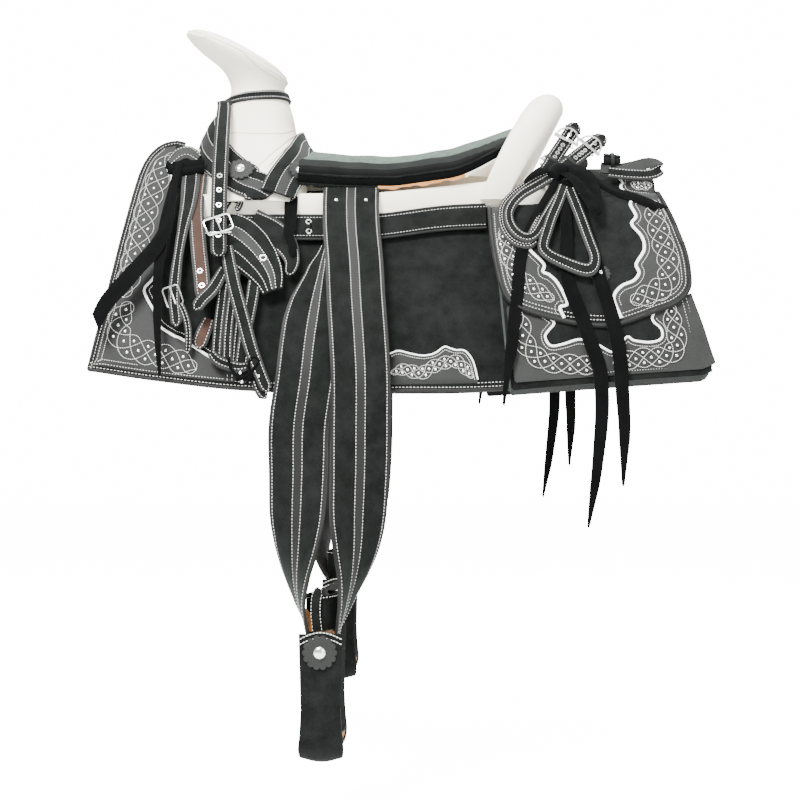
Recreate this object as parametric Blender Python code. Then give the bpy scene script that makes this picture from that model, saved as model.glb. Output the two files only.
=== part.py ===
"""Square skirt saddle: rawhide tree, padded seat, suede skirts, saddle bags, stirrups and strings.

Metres, +Z up. The horse's front is towards -X and its near (left) side towards -Y.
Everything that lies on the horse's side is cut flat, as a leather pattern in side view (x, z)
with its height n above the horse, and then bent over the flank.
"""
import math

import bmesh
import bpy
import numpy as np
from mathutils import Vector

# Clearance between pieces that touch
GAP = 0.0003

# The horse's side: half width of the back at each height, top to bottom
FLANK = [(0.130, 0.028), (0.110, 0.042), (0.070, 0.070), (0.030, 0.100), (-0.020, 0.137),
         (-0.070, 0.172), (-0.130, 0.208), (-0.200, 0.240), (-0.270, 0.262), (-0.350, 0.270),
         (-0.750, 0.272)]

# Thicknesses of the leather and wood
FLEECE_THICK = 0.009
SKIRT_THICK = 0.0035
OVERLAY_THICK = 0.0012
BAR_THICK = 0.020
BAR_EDGE_THICK = 0.005
JOCKEY_THICK = 0.0035
STRAP_THICK = 0.003
RIBBON_THICK = 0.0016
STIRRUP_LEATHER_THICK = 0.004
BAG_DEPTH = 0.032
BAG_WALL = 0.0025
FLAP_THICK = 0.003

# Heights above the horse of each layer's two faces
SKIRT_N = FLEECE_THICK + GAP
OVERLAY_N = SKIRT_N + SKIRT_THICK + GAP
BAR_N = OVERLAY_N
LEATHER_DROP = 0.0004
LEATHER_N = BAR_N + BAR_THICK - LEATHER_DROP
JOCKEY_N = BAR_N + BAR_EDGE_THICK + GAP
BAG_N = OVERLAY_N + OVERLAY_THICK + GAP
FLAP_N = BAG_N + BAG_DEPTH + GAP
STRINGS_N = FLAP_N + FLAP_THICK + GAP
LATIGO_N = 0.0222
FRONT_STRAP_N = BAR_N + BAR_THICK + GAP

# Tree
BAR_TOP = [(-0.283, -0.006), (-0.027, -0.003), (0.060, 0.006), (0.130, 0.016), (0.244, 0.010)]
BAR_BOTTOM = [(-0.283, -0.020), (-0.270, -0.030), (-0.030, -0.030), (0.054, -0.017), (0.130, -0.013),
              (0.235, -0.012), (0.246, -0.004)]
GULLET_TOP = 0.078
# Each row: the fork's front and back in side view, and its half width
FORK_ROWS = [(-0.291, 0.000, -0.108, 0.000, 0.174), (-0.291, 0.030, -0.109, 0.030, 0.154),
             (-0.290, 0.060, -0.114, 0.060, 0.130), (-0.285, 0.090, -0.135, 0.088, 0.104),
             (-0.274, 0.120, -0.149, 0.116, 0.080), (-0.257, 0.146, -0.154, 0.140, 0.060),
             (-0.246, 0.171, -0.161, 0.162, 0.046), (-0.246, 0.189, -0.166, 0.175, 0.044),
             (-0.259, 0.212, -0.167, 0.183, 0.050), (-0.290, 0.238, -0.165, 0.188, 0.062),
             (-0.307, 0.256, -0.1625, 0.191, 0.068), (-0.308, 0.262, -0.1635, 0.195, 0.068),
             (-0.297, 0.2665, -0.172, 0.207, 0.060), (-0.275, 0.2630, -0.195, 0.223, 0.038),
             (-0.252, 0.2540, -0.220, 0.239, 0.014)]
FORK_AROUND = 32
CANTLE_HALF_WIDTH = 0.156
CANTLE_TOP = 0.171
CANTLE_END_TOP = 0.040
CANTLE_FOOT = 0.004
CANTLE_ARCH_TOP = 0.058
CANTLE_BASE_X = 0.165
CANTLE_LEAN = 0.45
CANTLE_DISH = 0.018
CANTLE_THICK_TOP = 0.054
CANTLE_THICK_FOOT = 0.038

# Seat: height of the ground seat along its middle and at its edge
SEAT_MIDDLE = [(-0.140, 0.076), (-0.075, 0.069), (-0.007, 0.066), (0.075, 0.078), (0.175, 0.112)]
SEAT_EDGE = [(-0.140, 0.028), (-0.075, 0.0235), (-0.007, 0.0225), (0.075, 0.034), (0.175, 0.070)]
SEAT_HALF_WIDTH = 0.152
GROUND_SEAT_THICK = 0.004
GROUND_SEAT_MARGIN = 0.003
SEAT_PAD_THICK = 0.017
SEAT_PAD_EDGE = 0.010

# Skirts and what lies on them, in side view
SKIRT_TOP = 0.012
SKIRT_FRONT_TOP = [(-0.299, SKIRT_TOP), (-0.302, 0.086), (-0.316, 0.089), (-0.336, 0.082), (-0.352, 0.062),
                   (-0.362, 0.028), (-0.373, -0.051), (-0.386, -0.145), (-0.402, -0.232)]
SKIRT_BOTTOM = [(-0.306, -0.246), (-0.186, -0.258), (-0.006, -0.259), (0.148, -0.256), (0.402, -0.233)]
SKIRT_REAR = [(0.377, -0.134), (0.354, -0.016)]
FLEECE_INSET = 0.004
OVERLAY_INSET = 0.006
FRONT_OVERLAY_EDGE = [(-0.314, 0.004), (-0.318, -0.030), (-0.324, -0.051), (-0.322, -0.071),
                      (-0.324, -0.110), (-0.336, -0.128), (-0.331, -0.142), (-0.321, -0.158),
                      (-0.314, -0.176), (-0.294, -0.190), (-0.278, -0.197), (-0.211, -0.238)]
MIDDLE_OVERLAY_TOP = [(-0.013, -0.211), (-0.002, -0.209), (0.030, -0.215), (0.045, -0.212),
                      (0.057, -0.204), (0.072, -0.208), (0.084, -0.209), (0.094, -0.222), (0.100, -0.246)]
JOCKEY_DROP = 0.034
JOCKEY_FRONT = -0.240
JOCKEY_REAR = 0.116

# Saddle bags
BAG_TOP = [(0.124, -0.040), (0.350, -0.018)]
BAG_SIDES = [(0.372, -0.150), (0.397, -0.236), (0.386, -0.249), (0.141, -0.266), (0.135, -0.199)]
FLAP_EDGE = [(0.373, -0.100), (0.374, -0.139), (0.367, -0.154), (0.325, -0.175), (0.281, -0.190),
             (0.222, -0.189), (0.158, -0.172), (0.141, -0.161), (0.128, -0.133), (0.121, -0.085)]
YOKE_FRONT = 0.254
YOKE_WIDTH = 0.096
YOKE_TOP = 0.062

# Stirrups
LEATHER_WIDTH = 0.076
LEG_GAP = 0.0012
STIRRUP_X = -0.097
STIRRUP_Y = 0.300
ROLLER_RADIUS = 0.0145
ROLLER_CLEARANCE = 0.0008
STIRRUP_INSIDE = 0.118
STIRRUP_WOOD = 0.012
STIRRUP_DEPTH = 0.050
STIRRUP_SOLE = -0.7085
STIRRUP_EAR_TOP = -0.556
ROLLER_Z = STIRRUP_EAR_TOP - 0.022
COVER_THICK = 0.0025
ROSETTE_RADIUS = 0.021
ROSETTE_PETALS = 14
CONCHO_RADIUS = 0.0075

# Straps
FORK_BAND_WIDTH = 0.050
BACK_BAND_WIDTH = 0.042
BAND_CLEARANCE = 0.0012
BACK_BAND_N = BAND_CLEARANCE + STRAP_THICK + 0.003
NECK_LOOP_Z = 0.164
HORN_LOOP_WIDTH = 0.013
HORN_STRAP_WIDTH = 0.022
HORN_STRAP_TURN = 148
HORN_STRAP_STANDOFF = 0.0025
CRUPPER_WIDTH = 0.0135
WIRE_RADIUS = 0.0018

NEAR, FAR = -1, 1
SIDES = {NEAR: "left", FAR: "right"}


def clear_scene():
    """Remove every object that the file opened with."""
    for obj in list(bpy.data.objects):
        bpy.data.objects.remove(obj, do_unlink=True)


def make_material(name, colour, roughness, metallic=0.0):
    """A Principled material of one colour."""
    mat = bpy.data.materials.new(name)
    mat.use_nodes = True
    shader = mat.node_tree.nodes["Principled BSDF"]
    shader.inputs["Base Color"].default_value = (*colour, 1.0)
    shader.inputs["Roughness"].default_value = roughness
    shader.inputs["Metallic"].default_value = metallic
    return mat


def make_object(name, bm, mat, smooth_deg=40):
    """Close a bmesh into a named object, its faces pointing out."""
    bmesh.ops.remove_doubles(bm, verts=bm.verts, dist=1e-6)
    bmesh.ops.recalc_face_normals(bm, faces=bm.faces)
    mesh = bpy.data.meshes.new(name)
    bm.to_mesh(mesh)
    bm.free()
    mesh.shade_smooth()
    mesh.set_sharp_from_angle(angle=math.radians(smooth_deg))
    mesh.materials.append(mat)
    obj = bpy.data.objects.new(name, mesh)
    bpy.context.scene.collection.objects.link(obj)
    return obj


def hide_tool(obj):
    """Mark a cutter, which is no piece of the saddle."""
    obj.hide_render = True
    obj.display_type = 'WIRE'
    return obj


def apply_modifiers(obj):
    """Swap the object's mesh for the one its modifiers make, and drop off-cuts."""
    graph = bpy.context.evaluated_depsgraph_get()
    graph.update()
    mesh = bpy.data.meshes.new_from_object(obj.evaluated_get(graph))
    obj.modifiers.clear()
    obj.data = mesh
    drop_offcuts(mesh)


def drop_offcuts(mesh):
    """Keep the largest connected solid of a mesh."""
    bm = bmesh.new()
    bm.from_mesh(mesh)
    bmesh.ops.remove_doubles(bm, verts=bm.verts, dist=2e-6)
    bmesh.ops.dissolve_degenerate(bm, edges=bm.edges, dist=2e-6)
    seen, islands = set(), []
    for start in bm.faces:
        if start in seen:
            continue
        island, stack = [], [start]
        seen.add(start)
        while stack:
            face = stack.pop()
            island.append(face)
            for edge in face.edges:
                for other in edge.link_faces:
                    if other not in seen:
                        seen.add(other)
                        stack.append(other)
        islands.append(island)
    islands.sort(key=lambda faces: -sum(face.calc_area() for face in faces))
    offcuts = [face for island in islands[1:] for face in island]
    bmesh.ops.delete(bm, geom=offcuts, context='FACES')
    bm.to_mesh(mesh)
    bm.free()


def boolean(obj, tool, operation='DIFFERENCE'):
    """Cut or join a solid with a tool, exactly, and keep the result."""
    mod = obj.modifiers.new(operation.lower(), 'BOOLEAN')
    mod.operation = operation
    mod.object = tool
    apply_modifiers(obj)


def remove(obj):
    """Remove a tool that has done its work."""
    bpy.data.objects.remove(obj, do_unlink=True)


def grown(other, gap=GAP):
    """A cutter: a solid with a clearance of gap all round it."""
    bm = bmesh.new()
    bm.from_mesh(other.data)
    bmesh.ops.triangulate(bm, faces=bm.faces)
    bm.normal_update()
    moves = [(vert, vert.normal * gap * vert.calc_shell_factor()) for vert in bm.verts]
    for vert, move in moves:
        vert.co += move
    return hide_tool(make_object(other.name + "_clearance", bm, other.data.materials[0]))


def cut_clear(obj, *others):
    """Trim a solid back from its neighbours, with a clearance."""
    for other in others:
        tool = grown(other)
        boolean(obj, tool)
        remove(tool)


def curve_through(points, steps):
    """A smooth Catmull-Rom curve through the points, with a number of steps in each span."""
    pts = np.array(points, dtype=float)
    ext = np.vstack([2 * pts[0] - pts[1], pts, 2 * pts[-1] - pts[-2]])
    t = np.arange(steps)[:, None] / steps
    spans = []
    for a, b, c, d in zip(ext, ext[1:], ext[2:], ext[3:]):
        spans.append(0.5 * (2 * b + (c - a) * t + (2 * a - 5 * b + 4 * c - d) * t ** 2
                            + (3 * b - a - 3 * c + d) * t ** 3))
    return np.vstack([*spans, pts[-1:]])


def level(points, x):
    """Height of an edge, given as (x, z) points, at x."""
    xs, zs = zip(*points)
    return float(np.interp(x, xs, zs))


# The flank as a polyline with a normal at each knot, both linear in between
FLANK_Z = np.array([z for z, _ in reversed(FLANK)])
FLANK_Y = np.array([y for _, y in reversed(FLANK)])


def knot_normals():
    """Normals at the flank's knots, lengthened so that every layer keeps its thickness."""
    run = np.stack([np.diff(FLANK_Z), -np.diff(FLANK_Y)], axis=1)
    run /= np.linalg.norm(run, axis=1)[:, None]
    before, after = np.vstack([run[:1], run]), np.vstack([run, run[-1:]])
    mean = before + after
    return mean / (mean * before).sum(axis=1)[:, None]


FLANK_NORMAL = knot_normals()


def on_flank(x, z, n, side):
    """World point of the side-view point (x, z) at height n above the flank."""
    y = np.interp(z, FLANK_Z, FLANK_Y) + n * np.interp(z, FLANK_Z, FLANK_NORMAL[:, 0])
    up = z + n * np.interp(z, FLANK_Z, FLANK_NORMAL[:, 1])
    return Vector((x, side * y, up))


def flat_prism(faces, n0, n1):
    """A flat pattern, as polygons of (x, z) points that share their edges, made n1 - n0 thick."""
    bm = bmesh.new()
    for points in faces:
        bm.faces.new([bm.verts.new((x, z, n0)) for x, z in points])
    bmesh.ops.remove_doubles(bm, verts=bm.verts, dist=1e-6)
    result = bmesh.ops.extrude_face_region(bm, geom=list(bm.faces), use_keep_orig=True)
    for vert in result["geom"]:
        if isinstance(vert, bmesh.types.BMVert):
            vert.co.z = n1
    return bm


def bend(bm, side):
    """Bend a flat solid over the flank, creased at the flank's knots."""
    for z in FLANK_Z:
        geom = [*bm.verts, *bm.edges, *bm.faces]
        bmesh.ops.bisect_plane(bm, geom=geom, dist=1e-6, plane_co=(0, float(z), 0), plane_no=(0, 1, 0))
    for vert in bm.verts:
        vert.co = on_flank(vert.co.x, vert.co.y, vert.co.z, side)
    return bm


def panel(name, outline, n0, n1, side, mat):
    """A leather panel of one outline, bent over the flank."""
    return make_object(name, bend(flat_prism([outline], n0, n1), side), mat)


def flat_object(name, faces, n0, n1, mat):
    """A flat pattern as an object, to be cut before it is bent."""
    return make_object(name, flat_prism(faces, n0, n1), mat)


def bend_object(obj, side):
    """Bend an object that was cut flat; bending to the far side turns it inside out, so it is turned back."""
    bm = bmesh.new()
    bm.from_mesh(obj.data)
    bend(bm, side)
    if side == FAR:
        bmesh.ops.reverse_faces(bm, faces=bm.faces)
    bm.to_mesh(obj.data)
    bm.free()
    return obj


def strip(path, width, closed=False):
    """Quads of a strap's flat pattern along a centre line."""
    pts = np.array(path, dtype=float)
    if closed:
        tangent = np.roll(pts, -1, axis=0) - np.roll(pts, 1, axis=0)
    else:
        tangent = np.gradient(pts, axis=0)
    tangent /= np.linalg.norm(tangent, axis=1)[:, None]
    across = np.stack([-tangent[:, 1], tangent[:, 0]], axis=1) * np.reshape(width, (-1, 1)) / 2
    left, right = pts + across, pts - across
    last = len(pts) if closed else len(pts) - 1
    quads = []
    for i in range(last):
        j = (i + 1) % len(pts)
        quads.append([left[i], left[j], right[j], right[i]])
    return quads


def strap(name, path, width, n0, side, mat, thick=STRAP_THICK):
    """A flat strap, bent over the flank."""
    return make_object(name, bend(flat_prism(strip(path, width), n0, n0 + thick), side), mat)


def sheet_solid(name, inner, outer, mat, wrap=False):
    """A solid between two grids of points, [i][j], closed round its border.

    With wrap, the first index runs round and the grids close on themselves.
    """
    rows, cols = len(inner), len(inner[0])
    bm = bmesh.new()
    low = [[bm.verts.new(p) for p in row] for row in inner]
    high = [[bm.verts.new(p) for p in row] for row in outer]
    last = rows if wrap else rows - 1
    for i in range(last):
        k = (i + 1) % rows
        for j in range(cols - 1):
            bm.faces.new([low[i][j], low[i][j + 1], low[k][j + 1], low[k][j]])
            bm.faces.new([high[i][j], high[k][j], high[k][j + 1], high[i][j + 1]])
        for j in (0, cols - 1):
            bm.faces.new([low[i][j], low[k][j], high[k][j], high[i][j]])
    if not wrap:
        for i in (0, rows - 1):
            for j in range(cols - 1):
                bm.faces.new([low[i][j], low[i][j + 1], high[i][j + 1], high[i][j]])
    return make_object(name, bm, mat)


def loft_solid(name, sections, mat):
    """A solid through closed sections of equal point counts, capped at both ends."""
    bm = bmesh.new()
    rings = [[bm.verts.new(p) for p in section] for section in sections]
    for a, b in zip(rings, rings[1:]):
        for i in range(len(a)):
            j = (i + 1) % len(a)
            bm.faces.new([a[i], a[j], b[j], b[i]])
    bm.faces.new(rings[0])
    bm.faces.new(rings[-1])
    return make_object(name, bm, mat)


def ribbon(name, path, widths, width, thick, mat):
    """A strap in space along a path, with the direction of its width at each point.

    Both its faces are split along the same diagonals, so that they keep apart where it twists.
    """
    pts = np.array(path, dtype=float)
    tangent = np.gradient(pts, axis=0)
    tangent /= np.linalg.norm(tangent, axis=1)[:, None]
    across = np.array(widths, dtype=float)
    across -= (across * tangent).sum(axis=1)[:, None] * tangent
    across /= np.linalg.norm(across, axis=1)[:, None]
    normal = np.cross(tangent, across)
    half = np.reshape(width, (-1, 1)) / 2
    a, t = across * half, normal * thick / 2
    bm = bmesh.new()
    corners = zip(pts - a - t, pts + a - t, pts + a + t, pts - a + t)
    rings = [[bm.verts.new(p) for p in section] for section in corners]
    for now, after in zip(rings, rings[1:]):
        for left, right in ((0, 1), (3, 2)):
            bm.faces.new([now[left], now[right], after[right]])
            bm.faces.new([now[left], after[right], after[left]])
        for low, high in ((1, 2), (3, 0)):
            bm.faces.new([now[low], now[high], after[high], after[low]])
    bm.faces.new(rings[0])
    bm.faces.new(rings[-1])
    return make_object(name, bm, mat)


# Points of the fork's outline in side view, smoothed, with its half width
FORK_CURVE = curve_through(FORK_ROWS, 2)
FORK_HEIGHT = (FORK_CURVE[:, 1] + FORK_CURVE[:, 3]) / 2


def fork_point(turn, height):
    """Point of the fork's skin; turn runs in degrees from the back (0) past the near side (90)."""
    row = np.interp(height, FORK_HEIGHT[:24], np.arange(24))
    return fork_row_point(turn, row)


def fork_row_point(turn, row):
    """Point of the fork's skin at a row of its curve."""
    front_x, front_z, back_x, back_z, half = [
        np.interp(row, np.arange(len(FORK_CURVE)), FORK_CURVE[:, i]) for i in range(5)]
    power = np.interp(row, [0, 14], [2.9, 2.0])
    c, s = math.cos(math.radians(turn)), math.sin(math.radians(turn))
    along = math.copysign(abs(c) ** (2 / power), c)
    side = math.copysign(abs(s) ** (2 / power), s)
    return Vector(((front_x + back_x) / 2 + along * (back_x - front_x) / 2, -half * side,
                   (front_z + back_z) / 2 + along * (back_z - front_z) / 2))


def fork_frame(turn, height):
    """Point, outward normal and the two slopes of the fork's skin."""
    step_turn, step_height = 1.0, 0.002
    p = fork_point(turn, height)
    by_turn = (fork_point(turn + step_turn, height) - fork_point(turn - step_turn, height)) / (2 * step_turn)
    by_height = (fork_point(turn, height + step_height) - fork_point(turn, height - step_height)) \
        / (2 * step_height)
    normal = by_height.cross(by_turn).normalized()
    if normal.dot(p - Vector((-0.2, 0, p.z))) < 0:
        normal.negate()
    return p, normal, by_turn, by_height


def fork_band(name, route, width, n0, thick, mat, closed=False):
    """A band of leather laid on the fork's skin along (turn, height) points."""
    columns = np.linspace(-0.5, 0.5, 5)
    inner, outer = [], []
    count = len(route)
    for i, (turn, height) in enumerate(route):
        p, normal, by_turn, by_height = fork_frame(turn, height)
        a, b = route[max(i - 1, 0)], route[min(i + 1, count - 1)]
        tangent = by_turn * (b[0] - a[0]) + by_height * (b[1] - a[1])
        across = normal.cross(tangent).normalized() * width
        slopes = np.array([by_turn, by_height]).T
        steps, *_ = np.linalg.lstsq(slopes, np.array(across), rcond=None)
        low, high = [], []
        for share in columns:
            q, q_normal, _, _ = fork_frame(turn + steps[0] * share, height + steps[1] * share)
            low.append(q + q_normal * n0)
            high.append(q + q_normal * (n0 + thick))
        inner.append(low)
        outer.append(high)
    if closed:
        inner, outer = inner[:-1], outer[:-1]
    return sheet_solid(name, inner, outer, mat, wrap=closed)


def mirror_route(route):
    """Carry a route on the near side of the fork on over the middle to the far side."""
    middle = 180.0 if route[-1][0] > 90 else 0.0
    return [tuple(p) for p in route] + [(2 * middle - turn, height) for turn, height in reversed(route[:-1])]


def build_fork(mat):
    """The fork with its neck and horn cap, hollowed underneath for the horse's withers."""
    turns = np.arange(FORK_AROUND) * 360 / FORK_AROUND
    sections = [[fork_row_point(turn, row) for turn in turns] for row in range(len(FORK_CURVE))]
    fork = loft_solid("fork_and_horn", sections, mat)
    form = horse_form(GULLET_TOP, mat)
    boolean(fork, form)
    remove(form)
    return fork


def horse_form(top, mat):
    """A long cutter of the horse's back with its skirts on, arched over the spine."""
    heights = [-0.13, -0.07, -0.02, SKIRT_TOP + 2 * GAP]
    sides = [tuple(on_flank(0, z, BAR_N, FAR))[1:] for z in heights]
    start = sides[-1]
    turns = np.radians([15, 30, 45, 60, 75, 90])
    arch = [(start[0] * math.cos(t), start[1] + (top - start[1]) * math.sin(t)) for t in turns]
    half = [*sides, *arch]
    profile = half + [(-y, z) for y, z in reversed(half[:-1])]
    sections = [[(x, y, z) for y, z in profile] for x in (-0.5, 0.5)]
    return hide_tool(loft_solid("horse_form", sections, mat))


def build_bar(side, mat):
    """One side bar, thick along its top and thin along its lower edge."""
    xs = curve_through([(-0.283,), (-0.270,), (-0.19,), (-0.03,), (0.06,), (0.13,), (0.20,), (0.244,)], 2)[:, 0]
    inner, outer = [], []
    for x in xs:
        low, high = level(BAR_BOTTOM, x), level(BAR_TOP, x)
        shares = np.linspace(0, 1, 5)
        thick = BAR_EDGE_THICK + (BAR_THICK - BAR_EDGE_THICK) * np.sin(shares * math.pi / 2)
        zs = low + (high - low) * shares
        inner.append([on_flank(x, z, BAR_N, side) for z in zs])
        outer.append([on_flank(x, z, BAR_N + t, side) for z, t in zip(zs, thick)])
    return sheet_solid("bar_" + SIDES[side], inner, outer, mat)


def build_cantle(bars, mat):
    """The cantle, a thick round-topped slab that leans back over its arch."""
    sections = []
    for angle in np.linspace(-90, 90, 23):
        share = math.sin(math.radians(angle))
        y = share * CANTLE_HALF_WIDTH
        top = CANTLE_END_TOP + (CANTLE_TOP - CANTLE_END_TOP) * (1 - abs(share) ** 2.3) ** 0.55
        foot = CANTLE_FOOT
        round_z = min(0.5 * CANTLE_THICK_TOP, 0.6 * (top - foot))
        section = []
        for z, turn in [(foot, None), ((foot + top - round_z) / 2, None)] + [
                (top - round_z, t) for t in (0, 30, 60, 90, 120, 150, 180)] + [
                ((foot + top - round_z) / 2, 'back'), (foot, 'back')]:
            half = np.interp(z, [0.02, 0.14], [CANTLE_THICK_FOOT, CANTLE_THICK_TOP]) / 2
            x = CANTLE_BASE_X + CANTLE_LEAN * (z - 0.05) - CANTLE_DISH * share * share
            if turn is None:
                section.append((x - half, y, z))
            elif turn == 'back':
                section.append((x + half, y, z))
            else:
                rise = round_z * math.sin(math.radians(turn))
                section.append((x - half * math.cos(math.radians(turn)) + CANTLE_LEAN * rise * 0.5,
                                y, z + rise))
        sections.append(section)
    cantle = loft_solid("cantle", sections, mat)
    form = horse_form(CANTLE_ARCH_TOP, mat)
    boolean(cantle, form)
    remove(form)
    cut_clear(cantle, *bars)
    return cantle


def seat_height(x, y):
    """Height of the ground seat's upper face."""
    middle, edge = level(SEAT_MIDDLE, x), level(SEAT_EDGE, x)
    return middle - (middle - edge) * abs(y / SEAT_HALF_WIDTH) ** 2.2


def seat_grid(xs, half_width, lift, mat, name):
    """A solid on the seat's curve, with lift(share) giving its lower and upper faces."""
    inner, outer = [], []
    for x in xs:
        low, high = [], []
        for share in np.sin(np.linspace(-90, 90, 15) * math.pi / 180):
            y, step = share * half_width, 0.001
            slope = (seat_height(x, y + step) - seat_height(x, y - step)) / (2 * step)
            normal = Vector((0, -slope, 1)).normalized()
            base = Vector((x, y, seat_height(x, y)))
            bottom, top = lift(share)
            low.append(base + normal * bottom)
            high.append(base + normal * top)
        inner.append(low)
        outer.append(high)
    return sheet_solid(name, inner, outer, mat)


def build_seat(fork, cantle, bars, guard, flowers, leather, suede):
    """The natural leather ground seat and the padded suede cover on it."""
    xs = curve_through([(x,) for x in (-0.138, -0.075, -0.007, 0.075, 0.172)], 3)[:, 0]
    ground = seat_grid(xs, SEAT_HALF_WIDTH + GROUND_SEAT_MARGIN, lambda s: (-GROUND_SEAT_THICK, 0), leather,
                       "ground_seat")
    for flower in flowers:
        tool = grown(flower)
        boolean(guard, tool, 'UNION')
        remove(tool)
    cut_clear(ground, fork, cantle, *bars)
    boolean(ground, guard)

    def pad(share):
        return 2 * GAP, SEAT_PAD_EDGE + (SEAT_PAD_THICK - SEAT_PAD_EDGE) * (1 - abs(share) ** 3)

    cover = seat_grid(xs, SEAT_HALF_WIDTH, pad, suede, "seat_cover")
    cut_clear(cover, fork, cantle)
    boolean(cover, guard)
    remove(guard)
    return ground, cover


def inset(points, distance):
    """Move an open line of (x, z) points to its left by a distance."""
    pts = np.array(points, dtype=float)
    tangent = np.gradient(pts, axis=0)
    tangent /= np.linalg.norm(tangent, axis=1)[:, None]
    return pts + distance * np.stack([-tangent[:, 1], tangent[:, 0]], axis=1)


def build_skirt(side, mats):
    """Fleece, square skirt, its two overlays and the jockey band, on one side."""
    name = SIDES[side]
    top = SKIRT_FRONT_TOP[0][1]
    edge = [*SKIRT_FRONT_TOP, *SKIRT_BOTTOM, *SKIRT_REAR]
    outline = [*edge, (SKIRT_REAR[-1][0], top)]
    panel("skirt_" + name, outline, SKIRT_N, SKIRT_N + SKIRT_THICK, side, mats["suede"])
    lining = inset(edge, FLEECE_INSET)
    lining = [*lining[1:], (SKIRT_REAR[-1][0] - FLEECE_INSET, top - FLEECE_INSET),
              (SKIRT_FRONT_TOP[0][0] + FLEECE_INSET, top - FLEECE_INSET)]
    panel("fleece_" + name, lining, 0.0, FLEECE_THICK, side, mats["fleece"])
    overlay = [*SKIRT_FRONT_TOP[3:], SKIRT_BOTTOM[0], (-0.211, -0.2555)]
    scallops = curve_through(list(reversed(FRONT_OVERLAY_EDGE)), 2)
    outline = [(-0.314, 0.081), *inset(overlay, OVERLAY_INSET), *scallops]
    panel("skirt_front_overlay_" + name, outline, OVERLAY_N, OVERLAY_N + OVERLAY_THICK, side, mats["charcoal"])
    scallops = curve_through(MIDDLE_OVERLAY_TOP, 2)
    outline = [*scallops, (0.100, -0.2505), (-0.013, -0.2525)]
    panel("skirt_middle_overlay_" + name, outline, OVERLAY_N, OVERLAY_N + OVERLAY_THICK, side, mats["charcoal"])
    xs = (JOCKEY_FRONT, -0.030, 0.020, 0.054, 0.090, JOCKEY_REAR)
    upper = [(x, level(BAR_BOTTOM, x) - GAP) for x in xs]
    lower = [(x, z - JOCKEY_DROP) for x, z in reversed(upper)]
    panel("jockey_" + name, [*upper, *lower], JOCKEY_N, JOCKEY_N + JOCKEY_THICK, side, mats["charcoal"])


def bag_top(x, lift=0.0):
    """Side-view point on the bag's top line at x."""
    return (x, level([(-1.0, BAG_TOP[0][1] - (1 + BAG_TOP[0][0]) * BAG_SLOPE), *BAG_TOP,
                      (1.0, BAG_TOP[1][1] + (1 - BAG_TOP[1][0]) * BAG_SLOPE)], x) + lift)


BAG_SLOPE = (BAG_TOP[1][1] - BAG_TOP[0][1]) / (BAG_TOP[1][0] - BAG_TOP[0][0])
BAG_HEADER = 0.012
BAG_MOUTH = 0.085


def build_bag(side, mats):
    """A hollow bag with a mouth high in its front wall, and the flap that hangs over it."""
    name = SIDES[side]
    outline = [*BAG_TOP, *BAG_SIDES]
    body = flat_object("bag_body_" + name, [outline], BAG_N, BAG_N + BAG_DEPTH, mats["suede"])
    room = [(x + dx, z + dz) for (x, z), (dx, dz) in zip(outline, [
        (BAG_WALL, -BAG_HEADER), (-BAG_WALL, -BAG_HEADER), (-BAG_WALL, 0), (-2 * BAG_WALL, 0),
        (-2 * BAG_WALL, BAG_WALL), (BAG_WALL, BAG_WALL), (BAG_WALL, 0)])]
    cavity = flat_object("bag_room", [room], BAG_N + BAG_WALL, BAG_N + BAG_DEPTH - BAG_WALL, mats["suede"])
    left, right = BAG_TOP[0][0] + 6 * BAG_WALL, BAG_TOP[1][0] - 6 * BAG_WALL
    mouth = [bag_top(left, -BAG_HEADER), bag_top(right, -BAG_HEADER), bag_top(right, -BAG_HEADER - BAG_MOUTH),
             bag_top(left, -BAG_HEADER - BAG_MOUTH)]
    slot = flat_object("bag_mouth", [mouth], BAG_N + 3 * BAG_WALL, BAG_N + BAG_DEPTH + BAG_WALL, mats["suede"])
    boolean(cavity, hide_tool(slot), 'UNION')
    boolean(body, hide_tool(cavity))
    remove(cavity)
    remove(slot)
    bend_object(body, side)
    outline = [bag_top(0.119), bag_top(0.346), (0.355, -0.040), *curve_through(FLAP_EDGE, 1)]
    panel("bag_flap_" + name, outline, FLAP_N, FLAP_N + FLAP_THICK, side, mats["charcoal"])


def build_yoke(mat):
    """The panel over the horse's loin that joins the two bags."""
    inner, outer = [], []
    for x in np.linspace(YOKE_FRONT, YOKE_FRONT + YOKE_WIDTH, 4):
        low, high = [], []
        for n, line in ((OVERLAY_N, low), (OVERLAY_N + FLAP_THICK, high)):
            top = bag_top(x)[1]
            side_points = [on_flank(x, z, n, NEAR) for z in (top + 2 * GAP, -0.004, 0.010, 0.022)]
            line.extend(side_points)
            y0, z0 = side_points[-1][1], side_points[-1][2]
            for share in (0.75, 0.5, 0.25, 0.0):
                rise = YOKE_TOP + n - OVERLAY_N - z0
                line.append(Vector((x, y0 * share, z0 + rise * (1 - share ** 2))))
            line.extend([Vector((p.x, -p.y, p.z)) for p in reversed(line[:-1])])
        inner.append(low)
        outer.append(high)
    return sheet_solid("bag_yoke", inner, outer, mat)


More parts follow.
